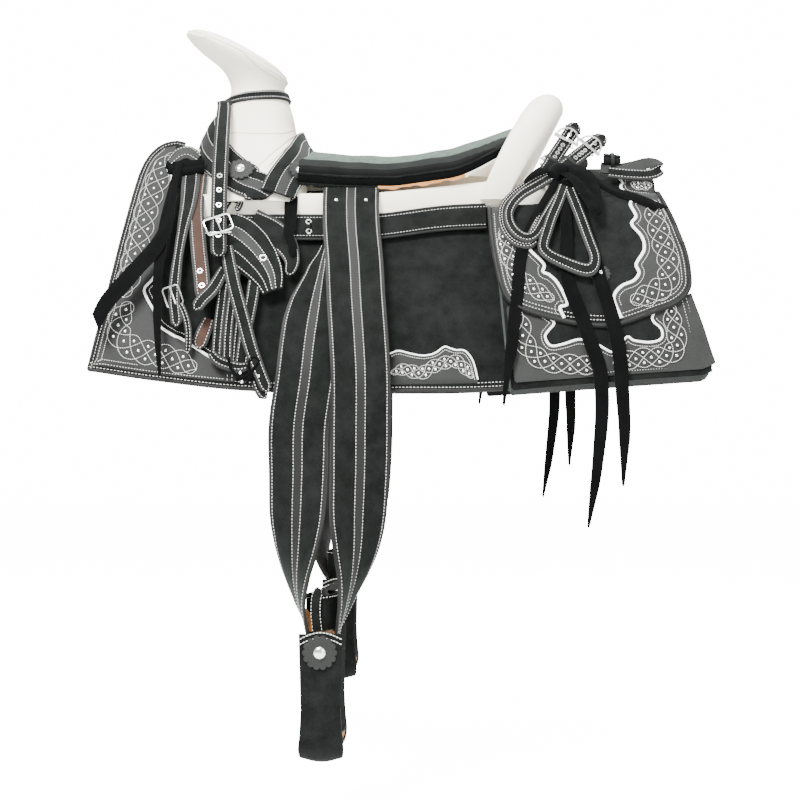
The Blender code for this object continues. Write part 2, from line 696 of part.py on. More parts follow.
def leather_leg(side, n, centre, twist_deg, loop_side):
    """Path and width directions of one leg of a stirrup leather, from the bar to the roller."""
    path, widths = [], []
    for x, z in centre:
        if z > -0.26:
            p = on_flank(x, z, n, side)
        else:
            share = (z + 0.26) / (ROLLER_Z + 0.26)
            top = on_flank(x, -0.26, n, side)
            p = Vector((x, top.y + (side * STIRRUP_Y - top.y) * min(1, share * 1.4), z))
        path.append(p)
        turn = math.radians(np.interp(z, [ROLLER_Z + 0.015, ROLLER_Z + 0.07, -0.42, -0.30], [90, 72, 22, 0]))
        turn *= twist_deg
        widths.append((math.cos(turn), side * math.sin(turn), 0))
    radius = ROLLER_RADIUS + ROLLER_CLEARANCE + STIRRUP_LEATHER_THICK / 2
    for angle in loop_side:
        a = math.radians(angle)
        path.append(Vector((STIRRUP_X + radius * math.cos(a), side * STIRRUP_Y, ROLLER_Z + radius * math.sin(a))))
        widths.append((0, side * math.copysign(1, twist_deg), 0))
    return path, widths


def build_stirrup(side, mats):
    """The leathers, roller, stirrup, its cover and its rosette, on one side."""
    name = SIDES[side]
    n_front = LEATHER_N + STIRRUP_LEATHER_THICK / 2
    n_rear = LEATHER_N - LEG_GAP - STIRRUP_LEATHER_THICK / 2
    front = [(-0.066, -0.0085), (-0.066, -0.030), (-0.064, -0.065), (-0.060, -0.105), (-0.057, -0.15),
             (-0.053, -0.20), (-0.050, -0.25), (-0.050, -0.30), (-0.051, -0.36), (-0.053, -0.41),
             (-0.055, -0.45), (-0.060, -0.49), (-0.067, -0.52), (-0.074, -0.545), (-0.0785, -0.560)]
    path, widths = leather_leg(side, n_front, front, -1, (0, -20, -40, -60, -80))
    ribbon("stirrup_leather_front_" + name, path, widths, LEATHER_WIDTH, STIRRUP_LEATHER_THICK, mats["suede"])
    rear = [(-0.098, -0.080), (-0.103, -0.115), (-0.109, -0.15), (-0.116, -0.20), (-0.121, -0.25),
            (-0.1290, -0.30), (-0.1295, -0.36), (-0.1305, -0.41), (-0.131, -0.45), (-0.131, -0.49),
            (-0.128, -0.52), (-0.121, -0.545), (-0.1155, -0.560)]
    path, widths = leather_leg(side, n_rear, rear, 1, (180, 200, 220, 240, 258))
    taper = [0.012, 0.040, 0.060] + [LEATHER_WIDTH] * (len(path) - 3)
    ribbon("stirrup_leather_rear_" + name, path, widths, taper, STIRRUP_LEATHER_THICK, mats["suede"])
    build_stirrup_ring(side, mats)


def stirrup_profile(grow, top):
    """Half of the U that the stirrup makes, seen from the front: (y, z) down its side to its sole."""
    half = STIRRUP_INSIDE / 2 + grow
    sole = STIRRUP_SOLE + STIRRUP_WOOD - grow
    corner = 0.022 + grow
    points = [(half, top), (half, (top + sole) / 2)]
    for angle in (0, 22.5, 45, 67.5, 90):
        a = math.radians(angle)
        points.append((half - corner + corner * math.cos(a), sole + corner - corner * math.sin(a)))
    points.append((0.0, sole))
    return points


def u_shell(name, inner_grow, outer_grow, top, depth, side, mat):
    """A U-shaped shell of the stirrup, as deep as the stirrup is fore and aft."""
    grids = []
    for grow in (inner_grow, outer_grow):
        half = stirrup_profile(grow, top)
        full = half + [(-y, z) for y, z in reversed(half[:-1])]
        grids.append([[(STIRRUP_X + dx, side * STIRRUP_Y + y, z) for dx in (-depth / 2, depth / 2)]
                      for y, z in full])
    return sheet_solid(name, grids[0], grids[1], mat)


def cylinder_y(name, centre, radius, length, mat, around=24):
    """A round bar along Y."""
    sections = []
    for y in (-length / 2, length / 2):
        sections.append([(centre[0] + radius * math.cos(2 * math.pi * i / around), centre[1] + y,
                          centre[2] + radius * math.sin(2 * math.pi * i / around)) for i in range(around)])
    return loft_solid(name, sections, mat)


def build_stirrup_ring(side, mats):
    """Wooden stirrup, its roller, its leather cover and its rosette."""
    name = SIDES[side]
    centre = (STIRRUP_X, side * STIRRUP_Y, ROLLER_Z)
    cylinder_y("stirrup_roller_" + name, centre, ROLLER_RADIUS, STIRRUP_INSIDE - 2 * GAP, mats["wood"])
    u_shell("stirrup_" + name, 0.0, STIRRUP_WOOD, STIRRUP_EAR_TOP, STIRRUP_DEPTH, side, mats["wood"])
    u_shell("stirrup_cover_" + name, STIRRUP_WOOD + GAP, STIRRUP_WOOD + GAP + COVER_THICK,
            STIRRUP_EAR_TOP + COVER_THICK, STIRRUP_DEPTH + 0.003, side, mats["suede"])
    out = STIRRUP_INSIDE / 2 + STIRRUP_WOOD + COVER_THICK + 2 * GAP
    spot = Vector((STIRRUP_X - 0.001, side * (STIRRUP_Y + out), STIRRUP_EAR_TOP - 0.020))
    rosette("stirrup_rosette_" + name, spot, Vector((0, side, 0)), mats["charcoal"])


def rosette(name, spot, normal, mat, radius=ROSETTE_RADIUS):
    """A leather flower of many petals with a domed concho, lying on a surface at spot."""
    normal = normal.normalized()
    along = Vector((1, 0, 0)) - normal * normal.x
    along.normalize()
    up = normal.cross(along)
    count = 2 * ROSETTE_PETALS
    sections = []
    for height, size, petal in ((0.0, radius, 0.86), (0.002, radius, 0.86), (0.0022, CONCHO_RADIUS, 1.0),
                                (0.0042, CONCHO_RADIUS * 0.8, 1.0), (0.0054, CONCHO_RADIUS * 0.35, 1.0)):
        ring = []
        for i in range(count):
            a = 2 * math.pi * i / count
            r = size * (petal if i % 2 else 1.0)
            ring.append(spot + normal * height + along * (r * math.cos(a)) + up * (r * math.sin(a)))
        sections.append(ring)
    return loft_solid(name, sections, mat)


def build_fork_bands(fork, mat):
    """The two striped bands round the fork, and the loop round its neck."""
    route = curve_through([(88, 0.019), (94, 0.028), (108, 0.050), (128, 0.077), (154, 0.106), (180, 0.119)], 3)
    front = fork_band("fork_band_front", mirror_route(route), FORK_BAND_WIDTH, BAND_CLEARANCE, STRAP_THICK, mat)
    route = curve_through([(86, 0.021), (74, 0.034), (56, 0.052), (28, 0.084), (0, 0.100)], 3)
    back = fork_band("fork_band_back", mirror_route(route), BACK_BAND_WIDTH, BACK_BAND_N, STRAP_THICK, mat)
    guard = fork_band("fork_band_guard", mirror_route(route), BACK_BAND_WIDTH + 2 * BAND_CLEARANCE, 0.0,
                      BACK_BAND_N + STRAP_THICK + BAND_CLEARANCE, mat)
    step = 360 / FORK_AROUND
    ring = [(i * step, NECK_LOOP_Z) for i in range(FORK_AROUND + 1)]
    loop = fork_band("horn_strap_loop", ring, HORN_LOOP_WIDTH, 2 * GAP, STRAP_THICK, mat, closed=True)
    cut_clear(loop, fork)
    return front, back, hide_tool(guard), loop


def build_rosettes(bands, mat):
    """A leather flower for each band, on both sides of the fork, each paired with its band."""
    front, back = bands[:2]
    pairs = []
    for side in SIDES:
        for band, turn, height, rise, radius in (
                (front, 106, 0.049, BAND_CLEARANCE + STRAP_THICK - GAP, ROSETTE_RADIUS),
                (back, 55, 0.050, BACK_BAND_N + STRAP_THICK - GAP, 0.85 * ROSETTE_RADIUS)):
            p, normal, _, _ = fork_frame(turn if side == NEAR else -turn, height)
            flower = rosette("rosette", p + normal * rise, normal, mat, radius)
            pairs.append((band, hide_tool(flower)))
    return pairs


def build_horn_strap(loop, mats):
    """The strap that hangs from the neck loop on the near side, and its buckle."""
    p, normal, _, _ = fork_frame(HORN_STRAP_TURN, NECK_LOOP_Z)
    normal = Vector((normal.x, normal.y, 0)).normalized()
    top = p + normal * (3 * GAP + 1.5 * STRAP_THICK)
    up = Vector((0, 0, HORN_LOOP_WIDTH / 2))
    route = [(0.060, 0.150), (0.082, 0.135), (0.110, 0.110), (0.143, 0.070), (0.176, 0.022),
             (0.199, -0.025), (0.218, -0.062), (0.232, -0.092)]
    path = [top + up, top - up + normal * HORN_STRAP_STANDOFF] + [
        (-0.2535 + 0.0012 * i, NEAR * y, z) for i, (y, z) in enumerate(route)]
    widths = [(normal.y, -normal.x, 0)] * 2 + [(-1, 0, 0)] * len(route)
    size = [0.013, 0.013, 0.018] + [HORN_STRAP_WIDTH] * (len(path) - 4) + [0.010]
    hanging = ribbon("horn_strap", path, widths, size, STRAP_THICK, mats["charcoal"])
    cut_clear(hanging, loop)
    a, b = Vector(path[-3]), Vector(path[-2])
    down = (b - a).normalized()
    spot = a + down * 0.012
    out = Vector((1, 0, 0)).cross(down)
    if out.y > 0:
        out.negate()
    frame = []
    half_x, half_z = 0.0185, 0.0115
    for dx, dz in ((-1, -1), (1, -1), (1, 1), (-1, 1)):
        frame.append((dx * half_x, dz * half_z))
    lift = STRAP_THICK / 2 + GAP
    inner, outer = [], []
    for dx, dz in frame:
        shares = (1.0, (half_x - 2 * WIRE_RADIUS) / half_x)
        inner.append([spot + Vector((dx * s, 0, 0)) + down * dz * s + out * lift for s in shares])
        outer.append([p + out * 2 * WIRE_RADIUS for p in inner[-1]])
    sheet_solid("horn_buckle", inner, outer, mats["steel"], wrap=True)


def build_front_straps(side, mats):
    """The folded front straps, their buckle and the ribbon they are tied with."""
    name, n = SIDES[side], FRONT_STRAP_N
    strap("front_strap_" + name, [(-0.3015, 0.030), (-0.3010, -0.020), (-0.293, -0.080), (-0.290, -0.130),
                                  (-0.292, -0.150), (-0.291, -0.190), (-0.284, -0.222)],
          [0.028, 0.028, 0.027, 0.026, 0.018, 0.015, 0.010], n, side, mats["charcoal"])
    strap("front_spare_strap_" + name, [(-0.2755, 0.022), (-0.2735, -0.030), (-0.262, -0.095), (-0.258, -0.148)],
          [0.021, 0.021, 0.022, 0.018], n, side, mats["leather"])
    n_tie = n + STRAP_THICK + GAP
    knot = flat_object("front_tie_" + name, [[(-0.316, 0.020), (-0.270, 0.022), (-0.268, 0.040), (-0.314, 0.042)]],
                       n_tie, n_tie + 0.006, mats["suede"])
    tail = [(-0.305, 0.030), (-0.318, -0.010), (-0.338, -0.062), (-0.362, -0.122), (-0.392, -0.192)]
    tail = flat_object("front_ribbon", strip(tail, [0.022, 0.023, 0.023, 0.022, 0.021]), n_tie + 0.002,
                       n_tie + 0.002 + RIBBON_THICK, mats["suede"])
    boolean(knot, hide_tool(tail), 'UNION')
    remove(tail)
    bend_object(knot, side)


def build_latigo(side, mats):
    """The latigo: a wide folded band below the fork, its striped end and its lace."""
    name, n = SIDES[side], LATIGO_N
    strap("latigo_end_" + name, [(-0.203, -0.110), (-0.208, -0.150), (-0.214, -0.195), (-0.216, -0.240)],
          0.046, n, side, mats["charcoal"])
    fold = [(-0.189, -0.0225), (-0.188, -0.060), (-0.186, -0.100), (-0.184, -0.131)]
    strap("latigo_" + name, fold, [0.080, 0.078, 0.074, 0.068], n + STRAP_THICK + GAP, side,
          mats["charcoal"], thick=2 * STRAP_THICK)
    lace = [(-0.226, -0.098), (-0.213, -0.150), (-0.194, -0.210), (-0.176, -0.266)]
    strap("latigo_lace_" + name, lace, 0.0155, n + 3 * STRAP_THICK + 2 * GAP, side, mats["charcoal"],
          thick=2 * RIBBON_THICK)


def fused_straps(name, pieces, side, mat):
    """Flat straps at rising heights, joined where they cross and bent over the flank as one piece."""
    whole = None
    for faces, n0, n1 in pieces:
        part = flat_object(name + "_piece", faces, n0, n1, mat)
        if whole is None:
            whole = part
        else:
            boolean(whole, hide_tool(part), 'UNION')
            remove(part)
    whole.name = name
    whole.data.name = name
    return bend_object(whole, side)


def build_strings(side, mats):
    """The crupper straps and suede ribbons that hang across the bag's flap."""
    name, n, t = SIDES[side], STRINGS_N, STRAP_THICK
    round_loop = curve_through([(0.176, -0.014), (0.156, -0.018), (0.143, -0.040), (0.146, -0.070),
                                (0.160, -0.090), (0.176, -0.084), (0.184, -0.062), (0.190, -0.030)], 2)[:-1]
    triangle = [(0.220, -0.022), (0.208, -0.045), (0.196, -0.075), (0.190, -0.096), (0.204, -0.105),
                (0.232, -0.113), (0.256, -0.116), (0.254, -0.104), (0.243, -0.070), (0.232, -0.040)]
    brace = [(0.178, -0.090), (0.192, -0.062), (0.206, -0.036), (0.218, -0.010)]
    fused_straps("crupper_straps_" + name, [
        (strip(round_loop, CRUPPER_WIDTH, closed=True), n, n + t),
        (strip(brace, CRUPPER_WIDTH), n + 0.6 * t, n + 1.6 * t),
        (strip(triangle, CRUPPER_WIDTH, closed=True), n + 1.1 * t, n + 2.1 * t)], side, mats["charcoal"])
    n_bow = n + 2.1 * t + GAP
    knot = [[(0.204, -0.018), (0.232, -0.022), (0.236, 0.006), (0.208, 0.012)]]
    first = [(0.216, -0.008), (0.196, -0.040), (0.172, -0.095), (0.150, -0.180), (0.132, -0.275)]
    second = [(0.222, -0.012), (0.232, -0.080), (0.242, -0.170), (0.252, -0.262), (0.238, -0.420)]
    third = [(0.226, -0.010), (0.252, -0.080), (0.268, -0.170), (0.278, -0.262), (0.280, -0.372)]
    fused_straps("saddle_strings_" + name, [
        (knot, n_bow, n_bow + 0.007),
        (strip(first, [0.015, 0.019, 0.018, 0.016, 0.006]), n_bow + 0.001, n_bow + 0.001 + RIBBON_THICK),
        (strip(second, [0.012, 0.016, 0.017, 0.016, 0.005]), n_bow + 0.003, n_bow + 0.003 + RIBBON_THICK),
        (strip(third, [0.012, 0.016, 0.018, 0.019, 0.006]), n_bow + 0.0053, n_bow + 0.0053 + RIBBON_THICK)],
        side, mats["suede"])


def build_rear_straps(side, bars, mats):
    """Two short straps that stand up behind the cantle from the bar's end."""
    name = SIDES[side]
    n = FRONT_STRAP_N + STRAP_THICK / 2
    for label, x in (("front", 0.206), ("rear", 0.230)):
        path = [Vector((x + 0.042, side * 0.104, 0.114)), Vector((x + 0.030, side * 0.116, 0.090)),
                Vector((x + 0.018, side * 0.130, 0.064)), on_flank(x + 0.008, 0.018, n + 0.002, side),
                on_flank(x, 0.004, n, side), on_flank(x - 0.006, -0.008, n, side)]
        widths = [(1, 0, 0.35)] * len(path)
        piece = ribbon("rear_strap_" + label + "_" + name, path, widths, CRUPPER_WIDTH, STRAP_THICK,
                       mats["charcoal"])
        cut_clear(piece, *bars)


def build():
    """Build the whole saddle."""
    clear_scene()
    mats = {
        "rawhide": make_material("rawhide", (0.86, 0.82, 0.70), 0.55),
        "suede": make_material("black_suede", (0.012, 0.012, 0.014), 0.95),
        "charcoal": make_material("charcoal_leather", (0.055, 0.057, 0.060), 0.75),
        "leather": make_material("brown_leather", (0.16, 0.08, 0.045), 0.7),
        "natural": make_material("natural_leather", (0.58, 0.26, 0.08), 0.6),
        "fleece": make_material("fleece", (0.70, 0.66, 0.56), 1.0),
        "wood": make_material("wood", (0.30, 0.18, 0.09), 0.6),
        "steel": make_material("nickel_steel", (0.72, 0.72, 0.72), 0.25, 1.0),
    }
    bars = [build_bar(side, mats["rawhide"]) for side in SIDES]
    fork = build_fork(mats["rawhide"])
    cut_clear(fork, *bars)
    cantle = build_cantle(bars, mats["rawhide"])
    bands = build_fork_bands(fork, mats["charcoal"])
    pairs = build_rosettes(bands, mats["charcoal"])
    flowers = [flower for _, flower in pairs]
    build_seat(fork, cantle, bars, bands[2], flowers, mats["natural"], mats["suede"])
    for band, flower in pairs:
        boolean(band, flower, 'UNION')
        remove(flower)
    build_yoke(mats["charcoal"])
    build_horn_strap(bands[3], mats)
    for side in SIDES:
        build_skirt(side, mats)
        build_bag(side, mats)
        build_stirrup(side, mats)
        build_front_straps(side, mats)
        build_latigo(side, mats)
        build_strings(side, mats)
        build_rear_straps(side, bars, mats)


build()
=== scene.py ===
"""Looks of a square skirt saddle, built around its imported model.

Metres, +Z up, the horse's front towards -X and its near (left) side towards -Y. Leather that lies
on the horse's side is drawn flat in side view, as (x, z) points with a height n above the horse,
and then laid over the flank.
"""
from __future__ import annotations

import logging
import math
from collections.abc import Callable, Sequence
from dataclasses import dataclass, field
from enum import Enum

import bmesh
import bpy
import numpy as np
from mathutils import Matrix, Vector
from mathutils.bvhtree import BVHTree
from mathutils.geometry import delaunay_2d_cdt

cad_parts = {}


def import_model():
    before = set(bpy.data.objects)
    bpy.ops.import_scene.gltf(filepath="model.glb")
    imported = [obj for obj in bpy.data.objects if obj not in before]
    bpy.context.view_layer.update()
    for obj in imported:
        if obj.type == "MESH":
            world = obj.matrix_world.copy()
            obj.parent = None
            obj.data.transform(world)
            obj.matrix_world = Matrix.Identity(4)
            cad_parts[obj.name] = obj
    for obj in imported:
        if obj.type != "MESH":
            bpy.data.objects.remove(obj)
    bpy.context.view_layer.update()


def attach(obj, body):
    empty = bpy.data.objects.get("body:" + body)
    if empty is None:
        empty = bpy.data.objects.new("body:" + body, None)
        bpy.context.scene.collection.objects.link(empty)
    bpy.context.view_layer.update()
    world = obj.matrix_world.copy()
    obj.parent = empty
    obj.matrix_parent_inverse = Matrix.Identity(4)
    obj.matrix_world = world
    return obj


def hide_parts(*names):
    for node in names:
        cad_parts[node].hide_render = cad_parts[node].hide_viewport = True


LOG = logging.getLogger("saddle")
Points = Sequence[tuple[float, ...]] | np.ndarray
# Rise of a face, or number of a zone, at each of some points
Relief = Callable[[np.ndarray], np.ndarray]
# A direction that no stud or eyelet faces, to start its rings from
LEVEL = np.array([0.3, 0.1, 0.95])


def mm(values: Sequence) -> np.ndarray:
    """Turn millimetres, given to a hundredth, into metres."""
    return np.rint(np.array(values, dtype=float) * 100) / 100000


# The horse's side: (height, half width of the back)
FLANK_KNOTS = mm([(-750, 272), (-350, 270), (-270, 262), (-200, 240), (-130, 208), (-70, 172), (-20, 137),
                  (30, 100), (70, 70), (110, 42), (130, 28)])

# Heights above the horse at which each layer starts
SKIRT_N = 0.0093
OVERLAY_N = 0.0131
BAR_N = 0.0131
JOCKEY_N = 0.0184
LATIGO_N = 0.0222
LEATHER_N = 0.0327
FRONT_STRAP_N = 0.0334
BAG_N = 0.0146
BAG_DEPTH = 0.032
FLAP_N = 0.0469
STRINGS_N = 0.0502

SKIRT_THICK = 0.0035
OVERLAY_THICK = 0.0012
STRAP_THICK = 0.003
INLAY_THICK = 0.0005


class Side(Enum):
    """The horse's two sides, as the sign of Y."""

    NEAR = -1
    FAR = 1

    @property
    def label(self) -> str:
        """The side's word in the names of the frame's nodes."""
        return "left" if self is Side.NEAR else "right"


class Layout(Enum):
    """How a strap's face is divided."""

    PLAIN = 0
    BORDERED = 1
    STRIPED = 2


def curve_through(points: Points, steps: int) -> np.ndarray:
    """Run a Catmull-Rom curve through points.

    Each span is the cubic that passes its two ends with slopes taken from their neighbours.

    Args:
        points: Control points of any dimension.
        steps: Steps in each span.

    Returns:
        The curve's points, one row each.
    """
    pts = np.array(points, dtype=float)
    ext = np.vstack([2 * pts[0] - pts[1], pts, 2 * pts[-1] - pts[-2]])
    t = (np.arange(steps) / steps)[None, :, None]
    a, b, c, d = (ext[i:len(ext) - 3 + i, None, :] for i in range(4))
    spans = 0.5 * (2 * b + (c - a) * t + (2 * a - 5 * b + 4 * c - d) * t ** 2
                   + (3 * b - a - 3 * c + d) * t ** 3)
    return np.vstack([spans.reshape(-1, pts.shape[1]), pts[-1:]])


def full_turn(count: int) -> np.ndarray:
    """Angles of a full turn in equal steps, in radians."""
    return np.linspace(0, 2 * math.pi, count, endpoint=False)


def circle(side: np.ndarray, other: np.ndarray, turn: np.ndarray) -> np.ndarray:
    """Places round a circle of radius 1 in the plane of two directions."""
    return side * np.cos(turn)[:, None] + other * np.sin(turn)[:, None]


def unit(vectors: np.ndarray) -> np.ndarray:
    """Scale rows of vectors to length 1."""
    return vectors / np.maximum(np.linalg.norm(vectors, axis=-1, keepdims=True), 1e-12)


def arc_length(path: np.ndarray) -> np.ndarray:
    """Distance along a path at each of its points."""
    return np.concatenate([[0.0], np.cumsum(np.linalg.norm(np.diff(path, axis=0), axis=1))])


def rows_at(where: np.ndarray | float, s: np.ndarray, values: np.ndarray) -> np.ndarray:
    """Rows of values, given at distances s along a path, read at other distances."""
    return np.stack([np.interp(where, s, column) for column in values.T], axis=-1)


def resample(path: np.ndarray, step: float) -> np.ndarray:
    """Space a path's points evenly, about a step apart, with both ends kept."""
    s = arc_length(path)
    return rows_at(np.linspace(0, s[-1], max(2, int(round(s[-1] / step)) + 1)), s, path)


def tangents(path: np.ndarray, closed: bool = False) -> np.ndarray:
    """Unit vectors along a path at each of its points."""
    if closed:
        return unit(np.roll(path, -1, axis=0) - np.roll(path, 1, axis=0))
    return unit(np.gradient(path, axis=0))


def squared(vectors: np.ndarray, tangent: np.ndarray) -> np.ndarray:
    """Unit vectors turned square to a path's direction at each of its points."""
    return unit(vectors - tangent * (vectors * tangent).sum(1, keepdims=True))


def left_of(path: np.ndarray, closed: bool = False) -> np.ndarray:
    """Unit vectors in the plane, square to a 2-D path and on its left."""
    tangent = tangents(path, closed)
    return np.stack([-tangent[:, 1], tangent[:, 0]], axis=1)


@dataclass
class Part:
    """Vertices with quads and triangles that index them, and texture places in metres."""

    verts: np.ndarray
    quads: np.ndarray = field(default_factory=lambda: np.zeros((0, 4), int))
    tris: np.ndarray = field(default_factory=lambda: np.zeros((0, 3), int))
    uv: np.ndarray | None = None

    @staticmethod
    def joined(parts: Sequence[Part]) -> Part:
        """Put parts together as one.

        Args:
            parts: The parts.

        Returns:
            A part that holds all of them.
        """
        starts = np.cumsum([0] + [len(p.verts) for p in parts])[:-1]
        uvs = [p.uv if p.uv is not None else np.zeros((len(p.verts), 2)) for p in parts]
        return Part(np.vstack([p.verts for p in parts]),
                    np.vstack([p.quads + s for p, s in zip(parts, starts)]),
                    np.vstack([p.tris + s for p, s in zip(parts, starts)]), np.vstack(uvs))


def grid_quads(rows: int, cols: int, wrap_rows: bool = False, wrap_cols: bool = False) -> np.ndarray:
    """Quads of a grid of vertices numbered row by row.

    Args:
        rows: Rows of vertices.
        cols: Vertices in each row.
        wrap_rows: Whether the last row joins the first.
        wrap_cols: Whether each row's end joins its start.

    Returns:
        Vertex numbers, four to a face.
    """
    i = np.arange(rows if wrap_rows else rows - 1)[:, None]
    j = np.arange(cols if wrap_cols else cols - 1)[None, :]
    i2, j2 = (i + 1) % rows, (j + 1) % cols
    return np.stack([i * cols + j, i * cols + j2, i2 * cols + j2, i2 * cols + j], axis=-1).reshape(-1, 4)


def end_fans(rows: int, around: int) -> np.ndarray:
    """Triangles that close a grid's first and last rings, to the two vertices numbered after it."""
    j = np.arange(around)
    j2, base, apex = (j + 1) % around, (rows - 1) * around, rows * around
    return np.vstack([np.stack([np.full(around, apex), j2, j], 1),
                      np.stack([np.full(around, apex + 1), base + j, base + j2], 1)])


def slab(inner: np.ndarray, outer: np.ndarray, closed: bool = False) -> Part:
    """Close the space between two grids of points, (rows, columns, 3).

    Args:
        inner: The lower face.
        outer: The upper face.
        closed: Whether the rows run round and join.

    Returns:
        A closed solid, with texture places along the rows and across them.
    """
    rows, cols = inner.shape[:2]
    count = rows * cols
    face = grid_quads(rows, cols, closed)
    faces = [face + count, face[:, ::-1]]
    i = np.arange(rows if closed else rows - 1)
    for j in (0, cols - 1):
        a, b = i * cols + j, (i + 1) % rows * cols + j
        faces.append(np.stack([a, b, count + b, count + a], 1))
    for row in () if closed else (0, rows - 1):
        a = row * cols + np.arange(cols - 1)
        faces.append(np.stack([a, a + 1, count + a + 1, count + a], 1))
    across = np.concatenate([np.zeros((rows, 1)),
                             np.cumsum(np.linalg.norm(np.diff(outer, axis=1), axis=2), axis=1)], axis=1)
    across -= across[:, -1:] / 2
    along = arc_length(outer[:, cols // 2])[:, None] + np.zeros((1, cols))
    uv = np.stack([across, along], axis=2).reshape(-1, 2)
    return Part(np.vstack([inner.reshape(-1, 3), outer.reshape(-1, 3)]), np.vstack(faces),
                uv=np.vstack([uv, uv]))


def loft(rings: np.ndarray) -> Part:
    """A closed solid through rings of points, each end closed by a fan to its middle."""
    rows, around = rings.shape[:2]
    verts = np.vstack([rings.reshape(-1, 3), rings[0].mean(0)[None], rings[-1].mean(0)[None]])
    return Part(verts, grid_quads(rows, around, wrap_cols=True), end_fans(rows, around))


def tube(path: np.ndarray, radius: float, around: int = 8, closed: bool = False,
         flat: float = 1.0, up: np.ndarray | None = None) -> Part:
    """Carry a round or flattened section along a path.

    The section's plane is kept from turning by taking, at each point, the part of the last
    up direction that is square to the path.

    Args:
        path: Points in space.
        radius: Half the section's width.
        around: Sides of the section.
        closed: Whether the path joins up.
        flat: Height of the section as a share of its width.
        up: Directions of the section's height, one for each point.

    Returns:
        A closed solid.
    """
    tangent = tangents(path, closed)
    if up is None:
        guide = np.array([0.0, 0.0, 1.0]) if abs(tangent[0, 2]) < 0.9 else np.array([1.0, 0.0, 0.0])
        up = np.zeros_like(path)
        for i, t in enumerate(tangent):
            guide = guide - t * guide.dot(t)
            guide = guide / np.linalg.norm(guide)
            up[i] = guide
    else:
        up = squared(up, tangent)
    side, turn = np.cross(tangent, up), full_turn(around)
    verts = (path[:, None] + circle(side[:, None], flat * up[:, None], turn) * radius).reshape(-1, 3)
    quads = grid_quads(len(path), around, closed, True)
    uv = np.stack([np.tile(turn, len(path)) * radius, np.repeat(arc_length(path), around)], axis=1)
    if closed:
        return Part(verts, quads, uv=uv)
    return Part(np.vstack([verts, path[:1], path[-1:]]), quads, end_fans(len(path), around),
                np.vstack([uv, uv[:1], uv[-1:]]))


def stitches(path: np.ndarray, up: np.ndarray, pitch: float = 0.0042, width: float = 0.0009,
             fill: float = 0.62) -> Part:
    """Sew a row of thread along a path.

    Each stitch is a five-sided bead, thick in its middle and sunk at its two ends.

    Args:
        path: Points in space, on the leather's face.
        up: Directions away from the face, one for each point.
        pitch: Distance from one stitch to the next.
        width: Thickness of the thread.
        fill: Share of the pitch that a stitch covers.

    Returns:
        All the stitches of the row.
    """
    s = arc_length(path)
    count = max(1, int(s[-1] / pitch))
    mid = (np.arange(count) + 0.5) * s[-1] / count
    half = 0.5 * fill * s[-1] / count
    turn = full_turn(5) + 0.3
    ring = np.stack([np.cos(turn), np.sin(turn)], axis=1)
    normal = unit(rows_at(mid, s, up))
    side = np.cross(unit(rows_at(mid + half, s, path) - rows_at(mid - half, s, path)), normal)
    verts = []
    for share, size, rise in ((-1.0, 0.35, -0.15), (-0.6, 1.0, 0.3), (0.6, 1.0, 0.3), (1.0, 0.35, -0.15)):
        centre = rows_at(mid + share * half, s, path) + normal * (width * rise)
        verts.append(centre[:, None] + (side[:, None] * ring[None, :, :1] * 0.5
                                        + normal[:, None] * ring[None, :, 1:] * 0.42) * width * size)
    fan = np.array([[0, 2, 1], [0, 3, 2], [0, 4, 3], [15, 16, 17], [15, 17, 18], [15, 18, 19]])
    return repeated(verts, fan)


def repeated(rings: list[np.ndarray], fan: np.ndarray) -> Part:
    """Make a small solid at each of many places.

    Args:
        rings: Its rings of points, each (places, points, 3).
        fan: Triangles that close its two ends.

    Returns:
        All the solids.
    """
    places, around = rings[0].shape[:2]
    base = (np.arange(places) * len(rings) * around)[:, None, None]
    quads = base + grid_quads(len(rings), around, wrap_cols=True)[None]
    return Part(np.stack(rings, axis=1).reshape(-1, 3), quads.reshape(-1, 4), (base + fan[None]).reshape(-1, 3))


def studs(centres: np.ndarray, normals: np.ndarray, radius: float = 0.0021, height: float = 0.0015) -> Part:
    """Set small round-headed studs, each a spherical cap in rings of ten.

    Args:
        centres: Places on the leather's face.
        normals: Directions away from the face.
        radius: Radius of a head.
        height: Height of a head.

    Returns:
        All the studs.
    """
    normals = unit(normals)
    side = unit(np.cross(normals, LEVEL))
    other = np.cross(normals, side)
    rings = [centres[:, None] + normals[:, None] * height * rise
             + radius * size * circle(side[:, None], other[:, None], full_turn(10))
             for size, rise in ((1.0, -0.2), (1.0, 0.25), (0.75, 0.75), (0.35, 0.97))]
    low = np.stack([np.zeros(8, int), np.arange(2, 10), np.arange(1, 9)], 1)
    high = np.stack([np.full(8, 30), np.arange(31, 39), np.arange(32, 40)], 1)
    return repeated(rings, np.vstack([low, high]))


def eyelets(centres: np.ndarray, normals: np.ndarray, radius: float, wire: float) -> Part:
    """Lay metal rings on a face, each a torus.

    Args:
        centres: Places on the leather's face.
        normals: Directions away from the face.
        radius: Radius of a ring's middle line.
        wire: Radius of its section.

    Returns:
        All the rings.
    """
    parts, turn = [], full_turn(14)
    for centre, normal in zip(centres, unit(normals)):
        side = unit(np.cross(normal, LEVEL))
        path = centre + radius * circle(side, np.cross(normal, side), turn)
        parts.append(tube(path, wire, 6, closed=True, flat=0.7, up=np.tile(normal, (len(turn), 1))))
    return Part.joined(parts)


